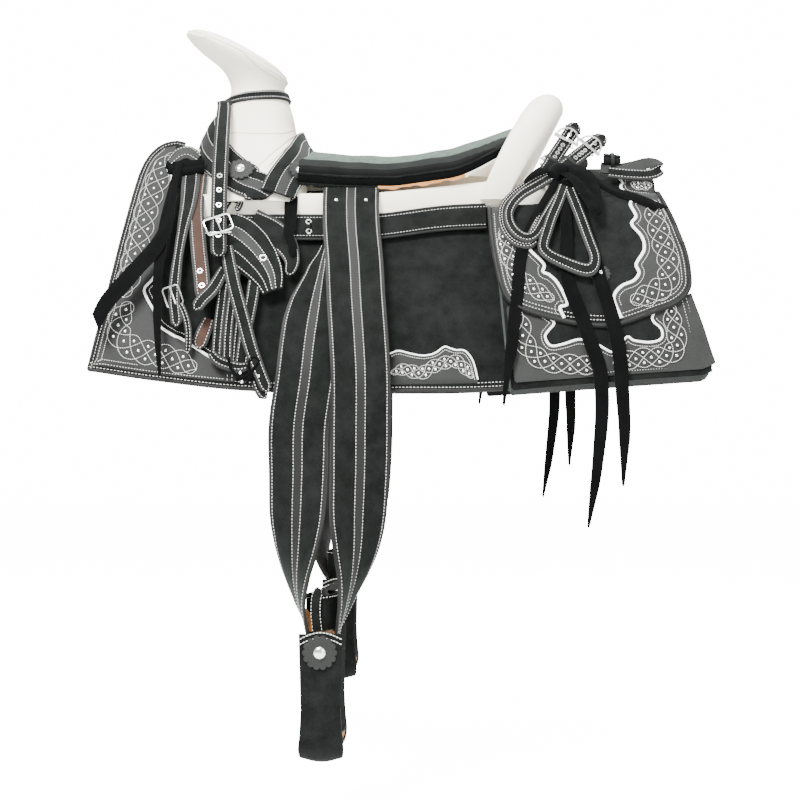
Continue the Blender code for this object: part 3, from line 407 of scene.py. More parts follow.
class Flank:
    """The horse's side as a smooth curve that leather is laid on."""

    reach, step, spread = 30, 0.001, 0.009

    def __init__(self, knots: np.ndarray) -> None:
        """Round the runs between knots, (height, half width), with a bell-shaped average."""
        reach, step = self.reach, self.step
        heights, halves = knots.T
        self.z = np.arange(heights[0], heights[-1], step)
        wide = np.arange(heights[0] - reach * step, heights[-1] + reach * step, step)[:len(self.z) + 2 * reach]
        bell = np.exp(-0.5 * (np.arange(-reach, reach + 1) * step / self.spread) ** 2)
        raw = np.interp(wide, heights, halves)
        self.y = np.convolve(raw, bell / bell.sum(), mode="valid")[:len(self.z)]
        self.y[-reach:] = np.interp(self.z[-reach:], heights, halves)
        slope = np.gradient(self.y, self.z)
        length = np.sqrt(1 + slope ** 2)
        self.out, self.up = 1 / length, -slope / length

    def lay(self, xz: np.ndarray, n: float | np.ndarray, side: Side) -> np.ndarray:
        """Lay side-view points over the flank.

        Args:
            xz: Points, (..., 2).
            n: Height above the horse.
            side: Which side.

        Returns:
            Points in space, (..., 3).
        """
        z = xz[..., 1]
        y = np.interp(z, self.z, self.y) + n * np.interp(z, self.z, self.out)
        up = z + n * np.interp(z, self.z, self.up)
        return np.stack([xz[..., 0] + 0 * y, side.value * y, up], axis=-1)

    def normal(self, xz: np.ndarray, side: Side) -> np.ndarray:
        """Direction away from the horse at side-view points."""
        z = xz[..., 1]
        out = np.interp(z, self.z, self.out)
        return np.stack([0 * z, side.value * out, np.interp(z, self.z, self.up)], axis=-1)

    def place(self, xz: np.ndarray, n: float | np.ndarray, side: Side) -> tuple[np.ndarray, np.ndarray]:
        """Side-view points laid over the flank, and the directions away from the horse there."""
        return self.lay(xz, n, side), self.normal(xz, side)


FLANK = Flank(FLANK_KNOTS)


@dataclass(frozen=True)
class Finish:
    """A finish: its colours, roughness and grain."""

    name: str
    slot: str
    low: tuple[float, float, float]
    high: tuple[float, float, float]
    roughness: float
    mottle_size: float = 0.03
    grain_size: float = 0.0012
    grain_depth: float = 0.0002
    metallic: float = 0.0
    sheen: float = 0.0
    sheen_tint: tuple[float, float, float] = (1.0, 1.0, 1.0)
    coat: float = 0.0
    specular: float = 0.5

    def material(self) -> bpy.types.Material:
        """Make the material, or return it if it is made already."""
        made = bpy.data.materials.get(self.name)
        if made:
            return made
        mat = bpy.data.materials.new(self.name)
        mat.use_nodes = True
        tree = mat.node_tree
        shader = tree.nodes["Principled BSDF"]
        grain = tree.nodes.new("ShaderNodeGroup")
        grain.node_tree = grain_group()
        bump = tree.nodes.new("ShaderNodeBump")
        set_inputs(grain, {"Low": (*self.low, 1), "High": (*self.high, 1), "Mottle scale": 1 / self.mottle_size,
                           "Grain scale": 1 / self.grain_size, "Roughness": self.roughness})
        set_inputs(bump, {"Distance": self.grain_depth, "Strength": 0.8})
        set_inputs(shader, {"Metallic": self.metallic, "Sheen Weight": self.sheen,
                            "Sheen Tint": (*self.sheen_tint, 1), "Sheen Roughness": 0.45,
                            "Coat Weight": self.coat, "Specular IOR Level": self.specular})
        for source, socket, target in ((grain, "Color", "Base Color"), (grain, "Roughness", "Roughness"),
                                       (bump, "Normal", "Normal")):
            tree.links.new(source.outputs[socket], shader.inputs[target])
        tree.links.new(grain.outputs["Height"], bump.inputs["Height"])
        return mat


def set_inputs(node: bpy.types.Node, values: dict[str | int, float | tuple[float, ...]]) -> bpy.types.Node:
    """Set a node's inputs by name or number, and return the node."""
    for key, value in values.items():
        node.inputs[key].default_value = value
    return node


def grain_group() -> bpy.types.NodeTree:
    """Make the shared grain effect: mottled colour, fine grain and uneven gloss.

    Returns:
        The node group, made once.
    """
    made = bpy.data.node_groups.get("leather grain")
    if made:
        return made
    tree = bpy.data.node_groups.new("leather grain", "ShaderNodeTree")
    for way, sockets in (("INPUT", ("Low", "High", "Mottle scale", "Grain scale", "Roughness")),
                         ("OUTPUT", ("Color", "Roughness", "Height"))):
        for name in sockets:
            kind = "NodeSocketColor" if name in ("Low", "High", "Color") else "NodeSocketFloat"
            tree.interface.new_socket(name, in_out=way, socket_type=kind)
    nodes, link = tree.nodes, tree.links.new
    into, out = nodes.new("NodeGroupInput").outputs, nodes.new("NodeGroupOutput").inputs
    place = nodes.new("ShaderNodeTexCoord").outputs["Object"]
    mottle = set_inputs(nodes.new("ShaderNodeTexNoise"), {"Detail": 6, "Roughness": 0.62})
    grain = set_inputs(nodes.new("ShaderNodeTexNoise"), {"Detail": 4})
    for node, key in ((mottle, "Mottle scale"), (grain, "Grain scale")):
        link(place, node.inputs["Vector"])
        link(into[key], node.inputs["Scale"])

    def compute(operation: str, value: bpy.types.NodeSocket, factor: float,
                plus: bpy.types.NodeSocket | None = None) -> bpy.types.NodeSocket:
        """Feed a value through a math node with a fixed second number."""
        node = set_inputs(nodes.new("ShaderNodeMath"), {1: factor})
        node.operation = operation
        link(value, node.inputs[0])
        if plus:
            link(plus, node.inputs[2])
        return node.outputs[0]

    patchy = compute("MULTIPLY", mottle.outputs["Fac"], 0.55)
    blend = compute("MULTIPLY_ADD", grain.outputs["Fac"], 0.45, patchy)
    spread = set_inputs(nodes.new("ShaderNodeMapRange"), {"From Min": 0.34, "From Max": 0.66})
    link(blend, spread.inputs["Value"])
    mix = nodes.new("ShaderNodeMix")
    mix.data_type = "RGBA"
    for source, socket in ((spread.outputs["Result"], "Factor"), (into["Low"], "A"), (into["High"], "B")):
        link(source, mix.inputs[socket])
    link(mix.outputs["Result"], out["Color"])
    shift = compute("SUBTRACT", into["Roughness"], 0.09)
    link(compute("MULTIPLY_ADD", mottle.outputs["Fac"], 0.18, shift), out["Roughness"])
    link(grain.outputs["Fac"], out["Height"])
    return tree


SUEDE = Finish("black suede", "black_suede", (0.0012, 0.0014, 0.0013), (0.0092, 0.0103, 0.0096), 0.95,
               mottle_size=0.022, grain_size=0.001, grain_depth=0.00025, sheen=0.06,
               sheen_tint=(0.8, 0.92, 0.86), specular=0.06)
# The seat cover's lit top is the same black suede as its sides. Its lighter grey-green colours are a painted
# highlight.
LIT_SEAT_SUEDE = Finish("seat suede painted highlight", "black_suede", (0.004, 0.0048, 0.0044), (0.07, 0.092, 0.08), 0.9,
                    mottle_size=0.009, grain_size=0.0016, grain_depth=0.0006, sheen=0.3,
                    sheen_tint=(0.75, 0.95, 0.82), specular=0.1)
RIBBON = Finish("ribbon suede", "black_suede", (0.0005, 0.0005, 0.0006), (0.0024, 0.0025, 0.0026), 0.97,
                grain_size=0.0009, grain_depth=0.0002, sheen=0.035, sheen_tint=(0.85, 0.88, 0.9), specular=0.04)
CHARCOAL = Finish("charcoal leather", "charcoal_leather", (0.006, 0.0065, 0.0061), (0.0168, 0.018, 0.0168),
                  0.66, mottle_size=0.05, grain_size=0.0014, grain_depth=0.00012, sheen=0.04, specular=0.2)
EDGE = Finish("strap leather", "charcoal_leather", (0.0026, 0.0029, 0.0027), (0.008, 0.0084, 0.0077), 0.62,
              mottle_size=0.04, grain_size=0.0012, grain_depth=0.00012, sheen=0.03, specular=0.2)
RAWHIDE = Finish("rawhide", "rawhide", (0.76, 0.69, 0.5), (0.95, 0.915, 0.77), 0.5,
                 mottle_size=0.09, grain_size=0.006, grain_depth=0.0006, coat=0.1)
# Darker rawhide for thin lines on the fork: painted shade along the horn cap's rim and in the fork's creases.
CREASE_SHADE = Finish("rawhide crease shade", "rawhide", (0.5, 0.44, 0.32), (0.66, 0.6, 0.46), 0.6)
NATURAL = Finish("natural leather", "natural_leather", (0.42, 0.15, 0.035), (0.72, 0.34, 0.11), 0.62,
                 mottle_size=0.012, grain_size=0.0015, grain_depth=0.0002)
BROWN = Finish("brown lining", "brown_leather", (0.02, 0.0085, 0.0055), (0.045, 0.0215, 0.014), 0.8,
               mottle_size=0.02, grain_size=0.0012, grain_depth=0.0002, sheen=0.05, specular=0.2)
THREAD = Finish("white thread", "charcoal_leather", (0.42, 0.42, 0.4), (0.66, 0.66, 0.64), 0.8,
                mottle_size=0.01, grain_size=0.0008)
PIPING = Finish("white piping", "charcoal_leather", (0.85, 0.85, 0.84), (0.94, 0.94, 0.94), 0.55,
                mottle_size=0.03, grain_size=0.0012)
STEEL = Finish("nickel", "nickel_steel", (0.66, 0.66, 0.65), (0.9, 0.9, 0.89), 0.24, metallic=1.0,
               mottle_size=0.01, grain_size=0.002)
FLEECE = Finish("fleece", "fleece", (0.42, 0.38, 0.3), (0.7, 0.67, 0.58), 1.0, mottle_size=0.012,
                grain_size=0.003, grain_depth=0.002, sheen=0.2, specular=0.1)
WOOD = Finish("oiled wood", "wood", (0.16, 0.07, 0.024), (0.3, 0.14, 0.05), 0.55, mottle_size=0.015,
              grain_size=0.004)


def add_object(name: str, data: bpy.types.ID) -> bpy.types.Object:
    """Make an object of some data and link it to the scene."""
    obj = bpy.data.objects.new(name, data)
    bpy.context.scene.collection.objects.link(obj)
    return obj


def face_outwards(mesh: bpy.types.Mesh) -> None:
    """Turn a closed mesh's faces outwards."""
    bm = bmesh.new()
    bm.from_mesh(mesh)
    bmesh.ops.recalc_face_normals(bm, faces=bm.faces)
    bm.to_mesh(mesh)
    bm.free()


def make_piece(name: str, part: Part, finish: Finish, body: str, nodes: Sequence[str] = (),
               sharp_deg: float = 45.0) -> bpy.types.Object:
    """Make an object of a part, finish it and let it ride on a body.

    Args:
        name: The piece's name.
        part: Its surface.
        finish: Its finish.
        body: The body it moves with.
        nodes: Nodes of the frame that it stands for.
        sharp_deg: Angle above which an edge stays sharp.

    Returns:
        The finished object.
    """
    mesh = bpy.data.meshes.new(name)
    loops = np.concatenate([part.quads.ravel(), part.tris.ravel()]).astype(np.int32)
    totals = np.repeat([4, 3], [len(part.quads), len(part.tris)]).astype(np.int32)
    mesh.vertices.add(len(part.verts))
    mesh.vertices.foreach_set("co", part.verts.astype(np.float32).ravel())
    mesh.loops.add(len(loops))
    mesh.loops.foreach_set("vertex_index", loops)
    mesh.polygons.add(len(totals))
    mesh.polygons.foreach_set("loop_start", (np.cumsum(totals) - totals).astype(np.int32))
    mesh.polygons.foreach_set("loop_total", totals)
    uv = part.uv if part.uv is not None else np.zeros((len(part.verts), 2))
    layer = mesh.uv_layers.new(name="UVMap")
    mesh.update(calc_edges=True)
    layer.data.foreach_set("uv", uv[loops].astype(np.float32).ravel())
    mesh.validate()
    face_outwards(mesh)
    mesh.shade_smooth()
    mesh.set_sharp_from_angle(angle=math.radians(sharp_deg))
    mesh.materials.append(finish.material())
    obj = add_object(name, mesh)
    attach(obj, body)
    if nodes:
        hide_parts(*nodes)
    LOG.info("%s: %d faces on %s", name, len(totals), body)
    return obj


class Work:
    """Collects parts by finish for one sub-assembly and makes one piece of each."""

    def __init__(self, name: str, body: str = "root") -> None:
        """Start an empty collection.

        Args:
            name: First words of the pieces' names.
            body: The body that they ride on.
        """
        self.name, self.body = name, body
        self.parts: dict[Finish, list[Part]] = {}

    def add(self, finish: Finish, part: Part) -> None:
        """Add a part of one finish."""
        self.parts.setdefault(finish, []).append(part)

    def sew(self, path: np.ndarray, n: float, side: Side, pitch: float = 0.0042, width: float = 0.0009,
            fill: float = 0.62, rise: Relief | None = None) -> None:
        """Add a row of thread along a side-view path at height n, on a face that may rise."""
        path = resample(path, 0.003)
        self.add(THREAD, stitches(*FLANK.place(path, n + rise(path) if rise else n, side), pitch, width, fill))

    def pipe(self, path: np.ndarray, n: float, side: Side, radius: float = 0.0018,
             rise: Relief | None = None) -> None:
        """Add a rolled edge of white leather along a side-view path, on a face that may rise."""
        path = resample(path, 0.0025)
        place, up = FLANK.place(path, n + rise(path) if rise else n, side)
        self.add(PIPING, tube(place, radius, flat=0.75, up=up))

    def bind(self, path: np.ndarray, n: float, side: Side, radius: float, step: float = 0.006) -> None:
        """Add a rounded leather edge along a side-view path."""
        self.add(EDGE, tube(FLANK.lay(resample(path, step), n, side), radius))

    def make(self, *nodes: str) -> None:
        """Make the pieces, the first of which stands for nodes of the frame."""
        for i, (finish, parts) in enumerate(self.parts.items()):
            name = self.name + "_" + finish.name.replace(" ", "_") if i else self.name
            make_piece(name, Part.joined(parts), finish, self.body, () if i else nodes)


class OnFlank:
    """A strip's middle line on the horse's side, with places beside it and above it."""

    closed = False

    def __init__(self, path: Points, n: float, side: Side, step: float = 0.006) -> None:
        """Smooth the middle line and space it evenly.

        Args:
            path: Control points in side view, with an added height as third number where it varies.
            n: Height of the strip's lower face.
            side: Which side.
            step: Distance between stations.
        """
        line = resample(curve_through(path, 8), step)
        self.n = n + (line[:, 2:] if line.shape[1] > 2 else 0.0)
        self.side, self.line = side, line[:, :2]
        self.left = left_of(self.line)

    def at(self, offset: np.ndarray, lift: np.ndarray | float) -> np.ndarray:
        """Places at offsets to the left, (stations, columns), raised by lift."""
        flat = self.line[:, None] + self.left[:, None] * offset[..., None]
        return FLANK.lay(flat, self.n + lift, self.side)

    def normals(self) -> np.ndarray:
        """Directions away from the horse at each station."""
        return FLANK.normal(self.line, self.side)


class InSpace:
    """A strip's middle line in space, with the direction of its width at each station."""

    closed = False

    def __init__(self, path: Points, widths: Points, steps: int, towards: Sequence[float],
                 station: int = 0) -> None:
        """Smooth the line and its width directions together.

        Args:
            path: Control points in space.
            widths: Directions across the strip at each control point.
            steps: Steps between control points.
            towards: Direction that the strip's face looks to at one station.
            station: That station.
        """
        self.line = curve_through(path, steps)
        tangent = tangents(self.line)
        self.left = squared(curve_through(widths, steps), tangent)
        self.up = np.cross(tangent, self.left)
        self.up = self.up * np.sign(self.up[station] @ np.array(towards))

    def at(self, offset: np.ndarray, lift: np.ndarray | float) -> np.ndarray:
        """Places at offsets along the width, (stations, columns), raised by lift."""
        lift = np.broadcast_to(np.asarray(lift, dtype=float), offset.shape)
        return self.line[:, None] + self.left[:, None] * offset[..., None] + self.up[:, None] * lift[..., None]

    def normals(self) -> np.ndarray:
        """Directions away from the strip's face."""
        return self.up


@dataclass
class Strap:
    """A strap of leather, with the inlays and rows of thread of its layout."""

    surface: OnFlank | InSpace | OnFork
    width: float | Points
    thick: float = STRAP_THICK
    layout: Layout = Layout.BORDERED
    border: float = 0.0035
    round_ends: bool = True
    base: Finish = CHARCOAL
    inlay: Finish = SUEDE
    bow: float = 0.0
    stripes: int = 3

    def widths(self) -> np.ndarray:
        """Width at each station, narrowed over half a width at a rounded end."""
        given = np.atleast_1d(np.asarray(self.width, dtype=float))
        w = np.interp(np.linspace(0, 1, len(self.surface.line)), np.linspace(0, 1, len(given)), given)
        if self.round_ends and not self.surface.closed:
            s = arc_length(self.surface.line)
            share = np.clip(1 - (s[-1] - s) / max(w[-1] / 2, 0.001), 0, 0.985)
            w = w * np.sqrt(1 - share ** 2)
        return w

    def strip(self, low: float, high: float, left: float, right: float, columns: int = 7) -> Part:
        """A strip between two shares of the width, its long edges rounded.

        Args:
            low: Height of its lower face.
            high: Height of its upper face.
            left: Share of the half width at its right-hand edge, from -1 to 1.
            right: Share at its other edge.
            columns: Columns of points.

        Returns:
            A closed solid.
        """
        shares = np.linspace(-1, 1, columns)
        shares = np.sign(shares) * np.abs(shares) ** 0.7
        w = self.widths()[:, None] / 2
        offset = w * (left + right) / 2 + w * (right - left) / 2 * shares[None]
        edge = min(high - low, 0.0012)
        crown = -self.bow * (offset / np.maximum(w, 1e-6)) ** 2
        top = high - edge * 0.6 * (np.abs(shares[None]) > 0.99) + crown
        return slab(self.surface.at(offset, low + crown), self.surface.at(offset, top), self.surface.closed)

    def row(self, share: float, lift: float, inset: float = 0.0) -> Part:
        """A row of thread along a share of the half width, inset metres nearer the middle."""
        w = self.widths()[:, None] / 2
        offset = np.sign(share) * np.maximum(w * abs(share) - inset, 0.0)
        path = self.surface.at(offset, lift)[:, 0]
        up = self.surface.normals()
        if self.surface.closed:
            path, up = np.vstack([path, path[:1]]), np.vstack([up, up[:1]])
        return stitches(path, up)

    def dress(self, work: Work) -> None:
        """Add the strap's parts to a collection."""
        t = self.thick
        work.add(self.base, self.strip(0.0, t, -1, 1))
        if self.layout is Layout.BORDERED:
            share = max(0.2, 1 - 2 * self.border / float(np.mean(self.widths())))
            work.add(self.inlay, self.strip(t * 0.5, t + INLAY_THICK, -share, share))
            for sign in (-1, 1):
                work.add(THREAD, self.row(sign * share, t + INLAY_THICK * 0.4, 0.0004))
        elif self.layout is Layout.STRIPED:
            edges = np.linspace(-0.9, 0.9, 2 * self.stripes)
            for a, b in zip(edges[::2], edges[1::2]):
                work.add(self.inlay, self.strip(t * 0.5, t + INLAY_THICK, a, b, 5))
            for share in edges:
                work.add(THREAD, self.row(share, t + INLAY_THICK * 0.5))


def lay_strap(work: Work, path: Points, n: float, side: Side, width: float | Points, thick: float = STRAP_THICK,
              layout: Layout = Layout.BORDERED, step: float = 0.006, **looks: float | bool | Finish) -> None:
    """Lay a strap on the horse's side, with any other field of Strap by name."""
    Strap(OnFlank(path, n, side, step), width, thick, layout, **looks).dress(work)


@dataclass
class Ribbon:
    """A flat ribbon of thin suede, creased along its length and cut to a slanting point."""

    path: Points
    widths: Sequence[float]
    waves: float = 0.085
    held: str = "hung"
    crease, thick, step = 0.0016, 0.0011, 0.0045

    def sew(self, name: str, body: str, side: Side) -> None:
        """Its face rises to a crease that wanders from side to side, as the sine of the distance
        along it, and one edge curls back a little. The point is cut on a slant.

        Args:
            name: The piece's name.
            body: The body it rides on.
            side: Which side of the horse.
        """
        line = resample(curve_through(self.path, 10), self.step)
        xz, n = line[:, :2], line[:, 2]
        space = FLANK.lay(xz, n, side)
        s, tangent = arc_length(space), tangents(space)
        across = squared(unit(FLANK.lay(xz + left_of(xz) * 0.001, n, side) - space), tangent)
        up = np.cross(tangent, across)
        up = up * np.sign((up * FLANK.normal(xz, side)).sum(1, keepdims=True))
        width = np.interp(np.linspace(0, 1, len(line)), np.linspace(0, 1, len(self.widths)), self.widths)
        shares = np.linspace(-1, 1, 9)[None, :]
        ridge = 0.45 * np.sin(2 * math.pi * s / self.waves)[:, None]
        depth = self.crease * (0.65 + 0.35 * np.sin(2 * math.pi * s / (0.7 * self.waves) + 1.3))[:, None]
        depth = depth * np.clip(width / np.max(width), 0.2, 1)[:, None]
        lift = depth * (1 - np.abs(shares - ridge) ** 0.8) + 0.3 * depth * np.cos(3 * shares + 9 * s[:, None])
        slant = 0.5 * width[:, None] * shares * np.clip((s - s[-1]) / 0.02 + 1, 0, 1)[:, None]
        middle = (space[:, None] + across[:, None] * (width[:, None] / 2 * shares)[..., None]
                  + tangent[:, None] * slant[..., None])
        low = middle + up[:, None] * lift[..., None]
        piece = make_piece(name, slab(low, low + up[:, None] * self.thick), RIBBON, body, sharp_deg=60.0)


def panel(outline: np.ndarray, n: float, thick: float, side: Side, grid: float = 0.008,
          relief: Relief | None = None, bevel: float = 0.0008) -> Part:
    """Cut a panel of one outline and lay it over the flank.

    Its faces are filled by a triangulation of the outline with an even grid of points inside.

    Args:
        outline: Closed outline in side view.
        n: Height of its lower face.
        thick: Its thickness.
        side: Which side.
        grid: Distance between points inside.
        relief: Rise of the upper face at side-view points.
        bevel: Rounding of its upper edge.

    Returns:
        A closed solid.
    """
    ring = resample(np.vstack([outline, outline[:1]]), grid * 0.6)[:-1]
    if np.sum(ring[:, 0] * np.roll(ring[:, 1], -1) - np.roll(ring[:, 0], -1) * ring[:, 1]) < 0:
        ring = ring[::-1]
    inner = ring + bevel * left_of(ring, closed=True)
    low, high = inner.min(0), inner.max(0)
    xs, zs = np.meshgrid(np.arange(low[0], high[0], grid), np.arange(low[1], high[1], grid))
    xs[1::2] += grid / 2
    inside = np.stack([xs.ravel(), zs.ravel()], axis=1)
    inside = inside[in_polygon(inside, inner)]
    gap = np.sqrt(((inside[:, None] - inner[None]) ** 2).sum(2)).min(1)
    inside = inside[gap > grid * 0.45]
    count = len(inner)
    points = [Vector(p) for p in np.vstack([inner, inside])]
    edges = [(i, (i + 1) % count) for i in range(count)]
    verts, _, faces, *_ = delaunay_2d_cdt(points, edges, [], 1, 1e-7)
    flat = np.array([tuple(v) for v in verts])
    tris = np.array([f for f in faces if len(f) == 3])
    top = FLANK.lay(flat, n + thick + (relief(flat) if relief else 0.0), side)
    rims = [FLANK.lay(ring, n + thick - bevel, side), FLANK.lay(ring, n, side)]
    m = len(flat)
    i = np.arange(count)
    j = (i + 1) % count
    u, v = 2 * m, 2 * m + count
    walls = [np.stack([i, j, u + j, u + i], 1), np.stack([u + i, u + j, v + j, v + i], 1),
             np.stack([v + i, v + j, m + j, m + i], 1)]
    return Part(np.vstack([top, FLANK.lay(flat, n, side), *rims]), np.vstack(walls),
                np.vstack([tris, tris[:, ::-1] + m]), np.vstack([flat, flat, ring, ring]))


def in_polygon(points: np.ndarray, ring: np.ndarray) -> np.ndarray:
    """Tell which points lie inside a polygon, by counting the edges to their right."""
    a, b = ring, np.roll(ring, -1, axis=0)
    y = points[:, 1][:, None]
    crosses = (a[None, :, 1] > y) != (b[None, :, 1] > y)
    slope = (b[:, 0] - a[:, 0]) / np.where(np.abs(b[:, 1] - a[:, 1]) < 1e-12, 1e-12, b[:, 1] - a[:, 1])
    x = a[None, :, 0] + (y - a[None, :, 1]) * slope[None]
    return (crosses & (points[:, 0][:, None] < x)).sum(1) % 2 == 1


def moved(path: np.ndarray, distance: float) -> np.ndarray:
    """A side-view path moved to its left."""
    return path + left_of(path) * distance


@dataclass
class Braid:
    """A stitched lattice: four waves of thread that cross along a spine, with studs in their cells."""

    spine: Points
    reach: float = 0.019
    wave: float = 0.098
    n: float = OVERLAY_N + OVERLAY_THICK
    blunt: float = 0.03

    def dress(self, work: Work, side: Side) -> None:
        """Sew the waves and set the studs.

        Wave j swings to reach * sin(2 pi s / wave + j pi / 2), and the reach falls to nothing at
        both ends as a quarter circle. Cells lie halfway between the crossings.

        Args:
            work: Collection to add to.
            side: Which side.
        """
        line = resample(curve_through(self.spine, 12), 0.002)
        left, s = left_of(line), arc_length(line)
        end = np.minimum(s, s[-1] - s)
        size = self.reach * np.sqrt(np.clip(1 - np.clip(1 - end / self.blunt, 0, 1) ** 2, 0, 1))
        turns = max(1, round(s[-1] / self.wave * 4)) / 4
        phase = 2 * math.pi * turns * s / s[-1]
        for j in range(4):
            path = line + left * (size * np.sin(phase + j * math.pi / 2))[:, None]
            work.sew(path, self.n, side, 0.0028, 0.0008, 0.84)
        spots = []
        for i in range(1, int(turns * 8)):
            where = np.interp(i * math.pi / 4, phase, s)
            middle, across = rows_at(where, s, line), rows_at(where, s, left)
            room = float(np.interp(where, s, size))
            shares = (0.0,) if i % 2 else (-0.52, 0.52)
            spots.extend(middle + across * room * share for share in shares if room > 0.4 * self.reach)
        work.add(STEEL, studs(*FLANK.place(np.array(spots), self.n, side)))


class Tree:
    """The tree of bare rawhide: fork with horn, side bars and cantle."""

    fork_rows = mm([(-291, 0, -108, 0, 174), (-291, 30, -109, 30, 154), (-290, 60, -114, 60, 130),
                    (-285, 90, -135, 88, 104), (-274, 120, -149, 116, 80), (-257, 146, -154, 140, 60),
                    (-246, 171, -161, 162, 46), (-246, 189, -166, 175, 44), (-259, 212, -167, 183, 50),
                    (-290, 238, -165, 188, 62), (-307, 256, -162.5, 191, 68), (-308, 262, -163.5, 195, 68),
                    (-297, 266.5, -172, 207, 60), (-275, 263, -195, 223, 38), (-252, 254, -220, 239, 14)])
    # Side-view lines (x, z) on the fork where shade is painted: first the horn cap's rim, then the fork's
    # creases.
    shade_lines = [mm([(-304.5, 250), (-286.3, 246.7), (-262, 241.6), (-243.4, 233), (-223.3, 223), (-197.5, 201.5),
                 (-176, 190.5)]),
             mm([(-240, 105), (-204.9, 103.6), (-176, 104.6), (-161.1, 109), (-149, 123.4)]),
             mm([(-150, 108.6), (-166, 85), (-193.2, 51.2)]),
             mm([(-153, 93), (-164, 74), (-179, 52)])]
    bar_top = mm([(-283, -6), (-27, -3), (60, 6), (130, 16), (244, 10)])
    bar_bottom = mm([(-283, -20), (-270, -30), (-30, -30), (54, -17), (130, -13), (235, -12), (246, -4)])
    bar_thick, bar_edge = 0.02, 0.005
    gullet_top, cantle_arch = 0.078, 0.058
    around, steps, rim_row = 96, 8, 11.3

    def __init__(self) -> None:
        """Work out the fork's outline, finely stepped."""
        self.curve = curve_through(self.fork_rows, self.steps)
        self.index = np.arange(len(self.curve)) / self.steps
        self.height = (self.curve[:, 1] + self.curve[:, 3]) / 2
        self.neck_rows = 12 * self.steps

    def skin_row(self, turn: np.ndarray, row: np.ndarray) -> np.ndarray:
        """Points of the fork's skin, whose level sections are superellipses.

        Args:
            turn: Degrees from the back past the near side.
            row: Row of the outline, from 0 at its foot.

        Returns:
            Points in space.
        """
        front_x, front_z, back_x, back_z, half = (np.interp(row, self.index, column) for column in self.curve.T)
        power = np.interp(row, [0, 7], [2.9, 2.0])
        c, s = np.cos(np.radians(turn)), np.sin(np.radians(turn))
        along = np.sign(c) * np.abs(c) ** (2 / power)
        side = np.sign(s) * np.abs(s) ** (2 / power)
        return np.stack([(front_x + back_x) / 2 + along * (back_x - front_x) / 2, -half * side,
                         (front_z + back_z) / 2 + along * (back_z - front_z) / 2], axis=-1)

    def skin(self, turn: np.ndarray, height: np.ndarray) -> np.ndarray:
        """Points of the fork's skin at mean heights."""
        row = np.interp(height, self.height[:self.neck_rows], self.index[:self.neck_rows])
        return self.skin_row(turn, row)

    def slopes(self, turn: np.ndarray, height: np.ndarray) -> tuple[np.ndarray, np.ndarray, np.ndarray]:
        """Outward normals of the skin, and how it runs with turn and with height."""
        dt, dh = 1.0, 0.002
        by_turn = (self.skin(turn + dt, height) - self.skin(turn - dt, height)) / (2 * dt)
        by_height = (self.skin(turn, height + dh) - self.skin(turn, height - dh)) / (2 * dh)
        normal = unit(np.cross(by_height, by_turn))
        away = self.skin(turn, height) - np.array([-0.2, 0.0, 0.0])
        away[..., 2] = 0
        flip = np.where((normal * away).sum(-1, keepdims=True) < 0, -1.0, 1.0)
        return normal * flip, by_turn, by_height

    def arch(self, top: float) -> np.ndarray:
        """Section (y, z) of the horse's back under the tree, arched to a height."""
        z = np.linspace(-0.13, 0.0126, 12)
        sides = FLANK.lay(np.stack([0 * z, z], 1), BAR_N, Side.FAR)[:, 1:]
        turn = np.radians(np.linspace(0, 90, 14))[1:]
        start = sides[-1]
        arch = np.stack([start[0] * np.cos(turn), start[1] + (top - start[1]) * np.sin(turn)], 1)
        half = np.vstack([sides, arch])
        return np.vstack([half, (half * [-1, 1])[-2::-1]])

    def hollow(self, obj: bpy.types.Object, top: float) -> None:
        """Cut the horse's back, arched to a height, out of a solid."""
        ring = self.arch(top)
        count = len(ring)
        verts = np.vstack([np.column_stack([np.full(count, x), ring]) for x in (-0.5, 0.5)])
        faces = [tuple(q) for q in grid_quads(2, count, wrap_cols=True)]
        faces += [tuple(range(count))[::-1], tuple(range(count, 2 * count))]
        mesh = bpy.data.meshes.new("horse_back")
        mesh.from_pydata(verts.tolist(), [], faces)
        face_outwards(mesh)
        tool = add_object("horse_back", mesh)
        obj.modifiers.new("arch", "BOOLEAN").object = tool
        shaped = bpy.data.meshes.new_from_object(obj.evaluated_get(bpy.context.evaluated_depsgraph_get()))
        obj.modifiers.clear()
        obj.data = shaped
        bpy.data.objects.remove(tool)
        shaped.shade_smooth()
        shaped.set_sharp_from_angle(angle=math.radians(40))

    def build_fork(self) -> None:
        """Build the fork with its neck and horn cap, and hollow it underneath."""
        turn = np.linspace(0, 360, self.around, endpoint=False)
        rings = self.skin_row(turn[None, :] + 0 * self.index[:, None], self.index[:, None] + 0 * turn[None, :])
        fork = make_piece("rawhide_fork", loft(rings), RAWHIDE, "root", ("fork_and_horn",))
        self.hollow(fork, self.gullet_top)
        rim = self.skin_row(turn, np.full(self.around, self.rim_row))
        rim = rim + unit(rim - rim.mean(0)) * 0.0002
        make_piece("horn_cap_rim", tube(rim, 0.0011, 6, closed=True), RAWHIDE, "root")
        self.paint_crease_shade(fork)
        nail = self.skin_row(np.array([118.0]), np.array([9.6]))
        head = studs(nail, unit(nail - np.array([[-0.23, 0, 0.24]])), 0.0016, 0.0006)
        make_piece("horn_nail", head, STEEL, "root")

    def paint_crease_shade(self, fork: bpy.types.Object) -> None:
        """Lay darker rawhide lines on the fork's sides, where lines cast across it meet its skin: painted shade
        along the horn cap's rim and in the fork's creases.
        """
        mesh = fork.data
        skin = BVHTree.FromPolygons([v.co for v in mesh.vertices], [tuple(p.vertices) for p in mesh.polygons])
        for i, line in enumerate(self.shade_lines):
            for side in Side:
                hits = [skin.ray_cast(Vector((x, side.value * 0.5, z)), Vector((0, -side.value, 0)))[0]
                        for x, z in resample(curve_through(line, 6), 0.004)]
                path = np.array([hit for hit in hits if hit is not None])
                make_piece("fork_seam_%d_%s" % (i + 1, side.label), tube(path, 0.0008, 6), CREASE_SHADE, "root")

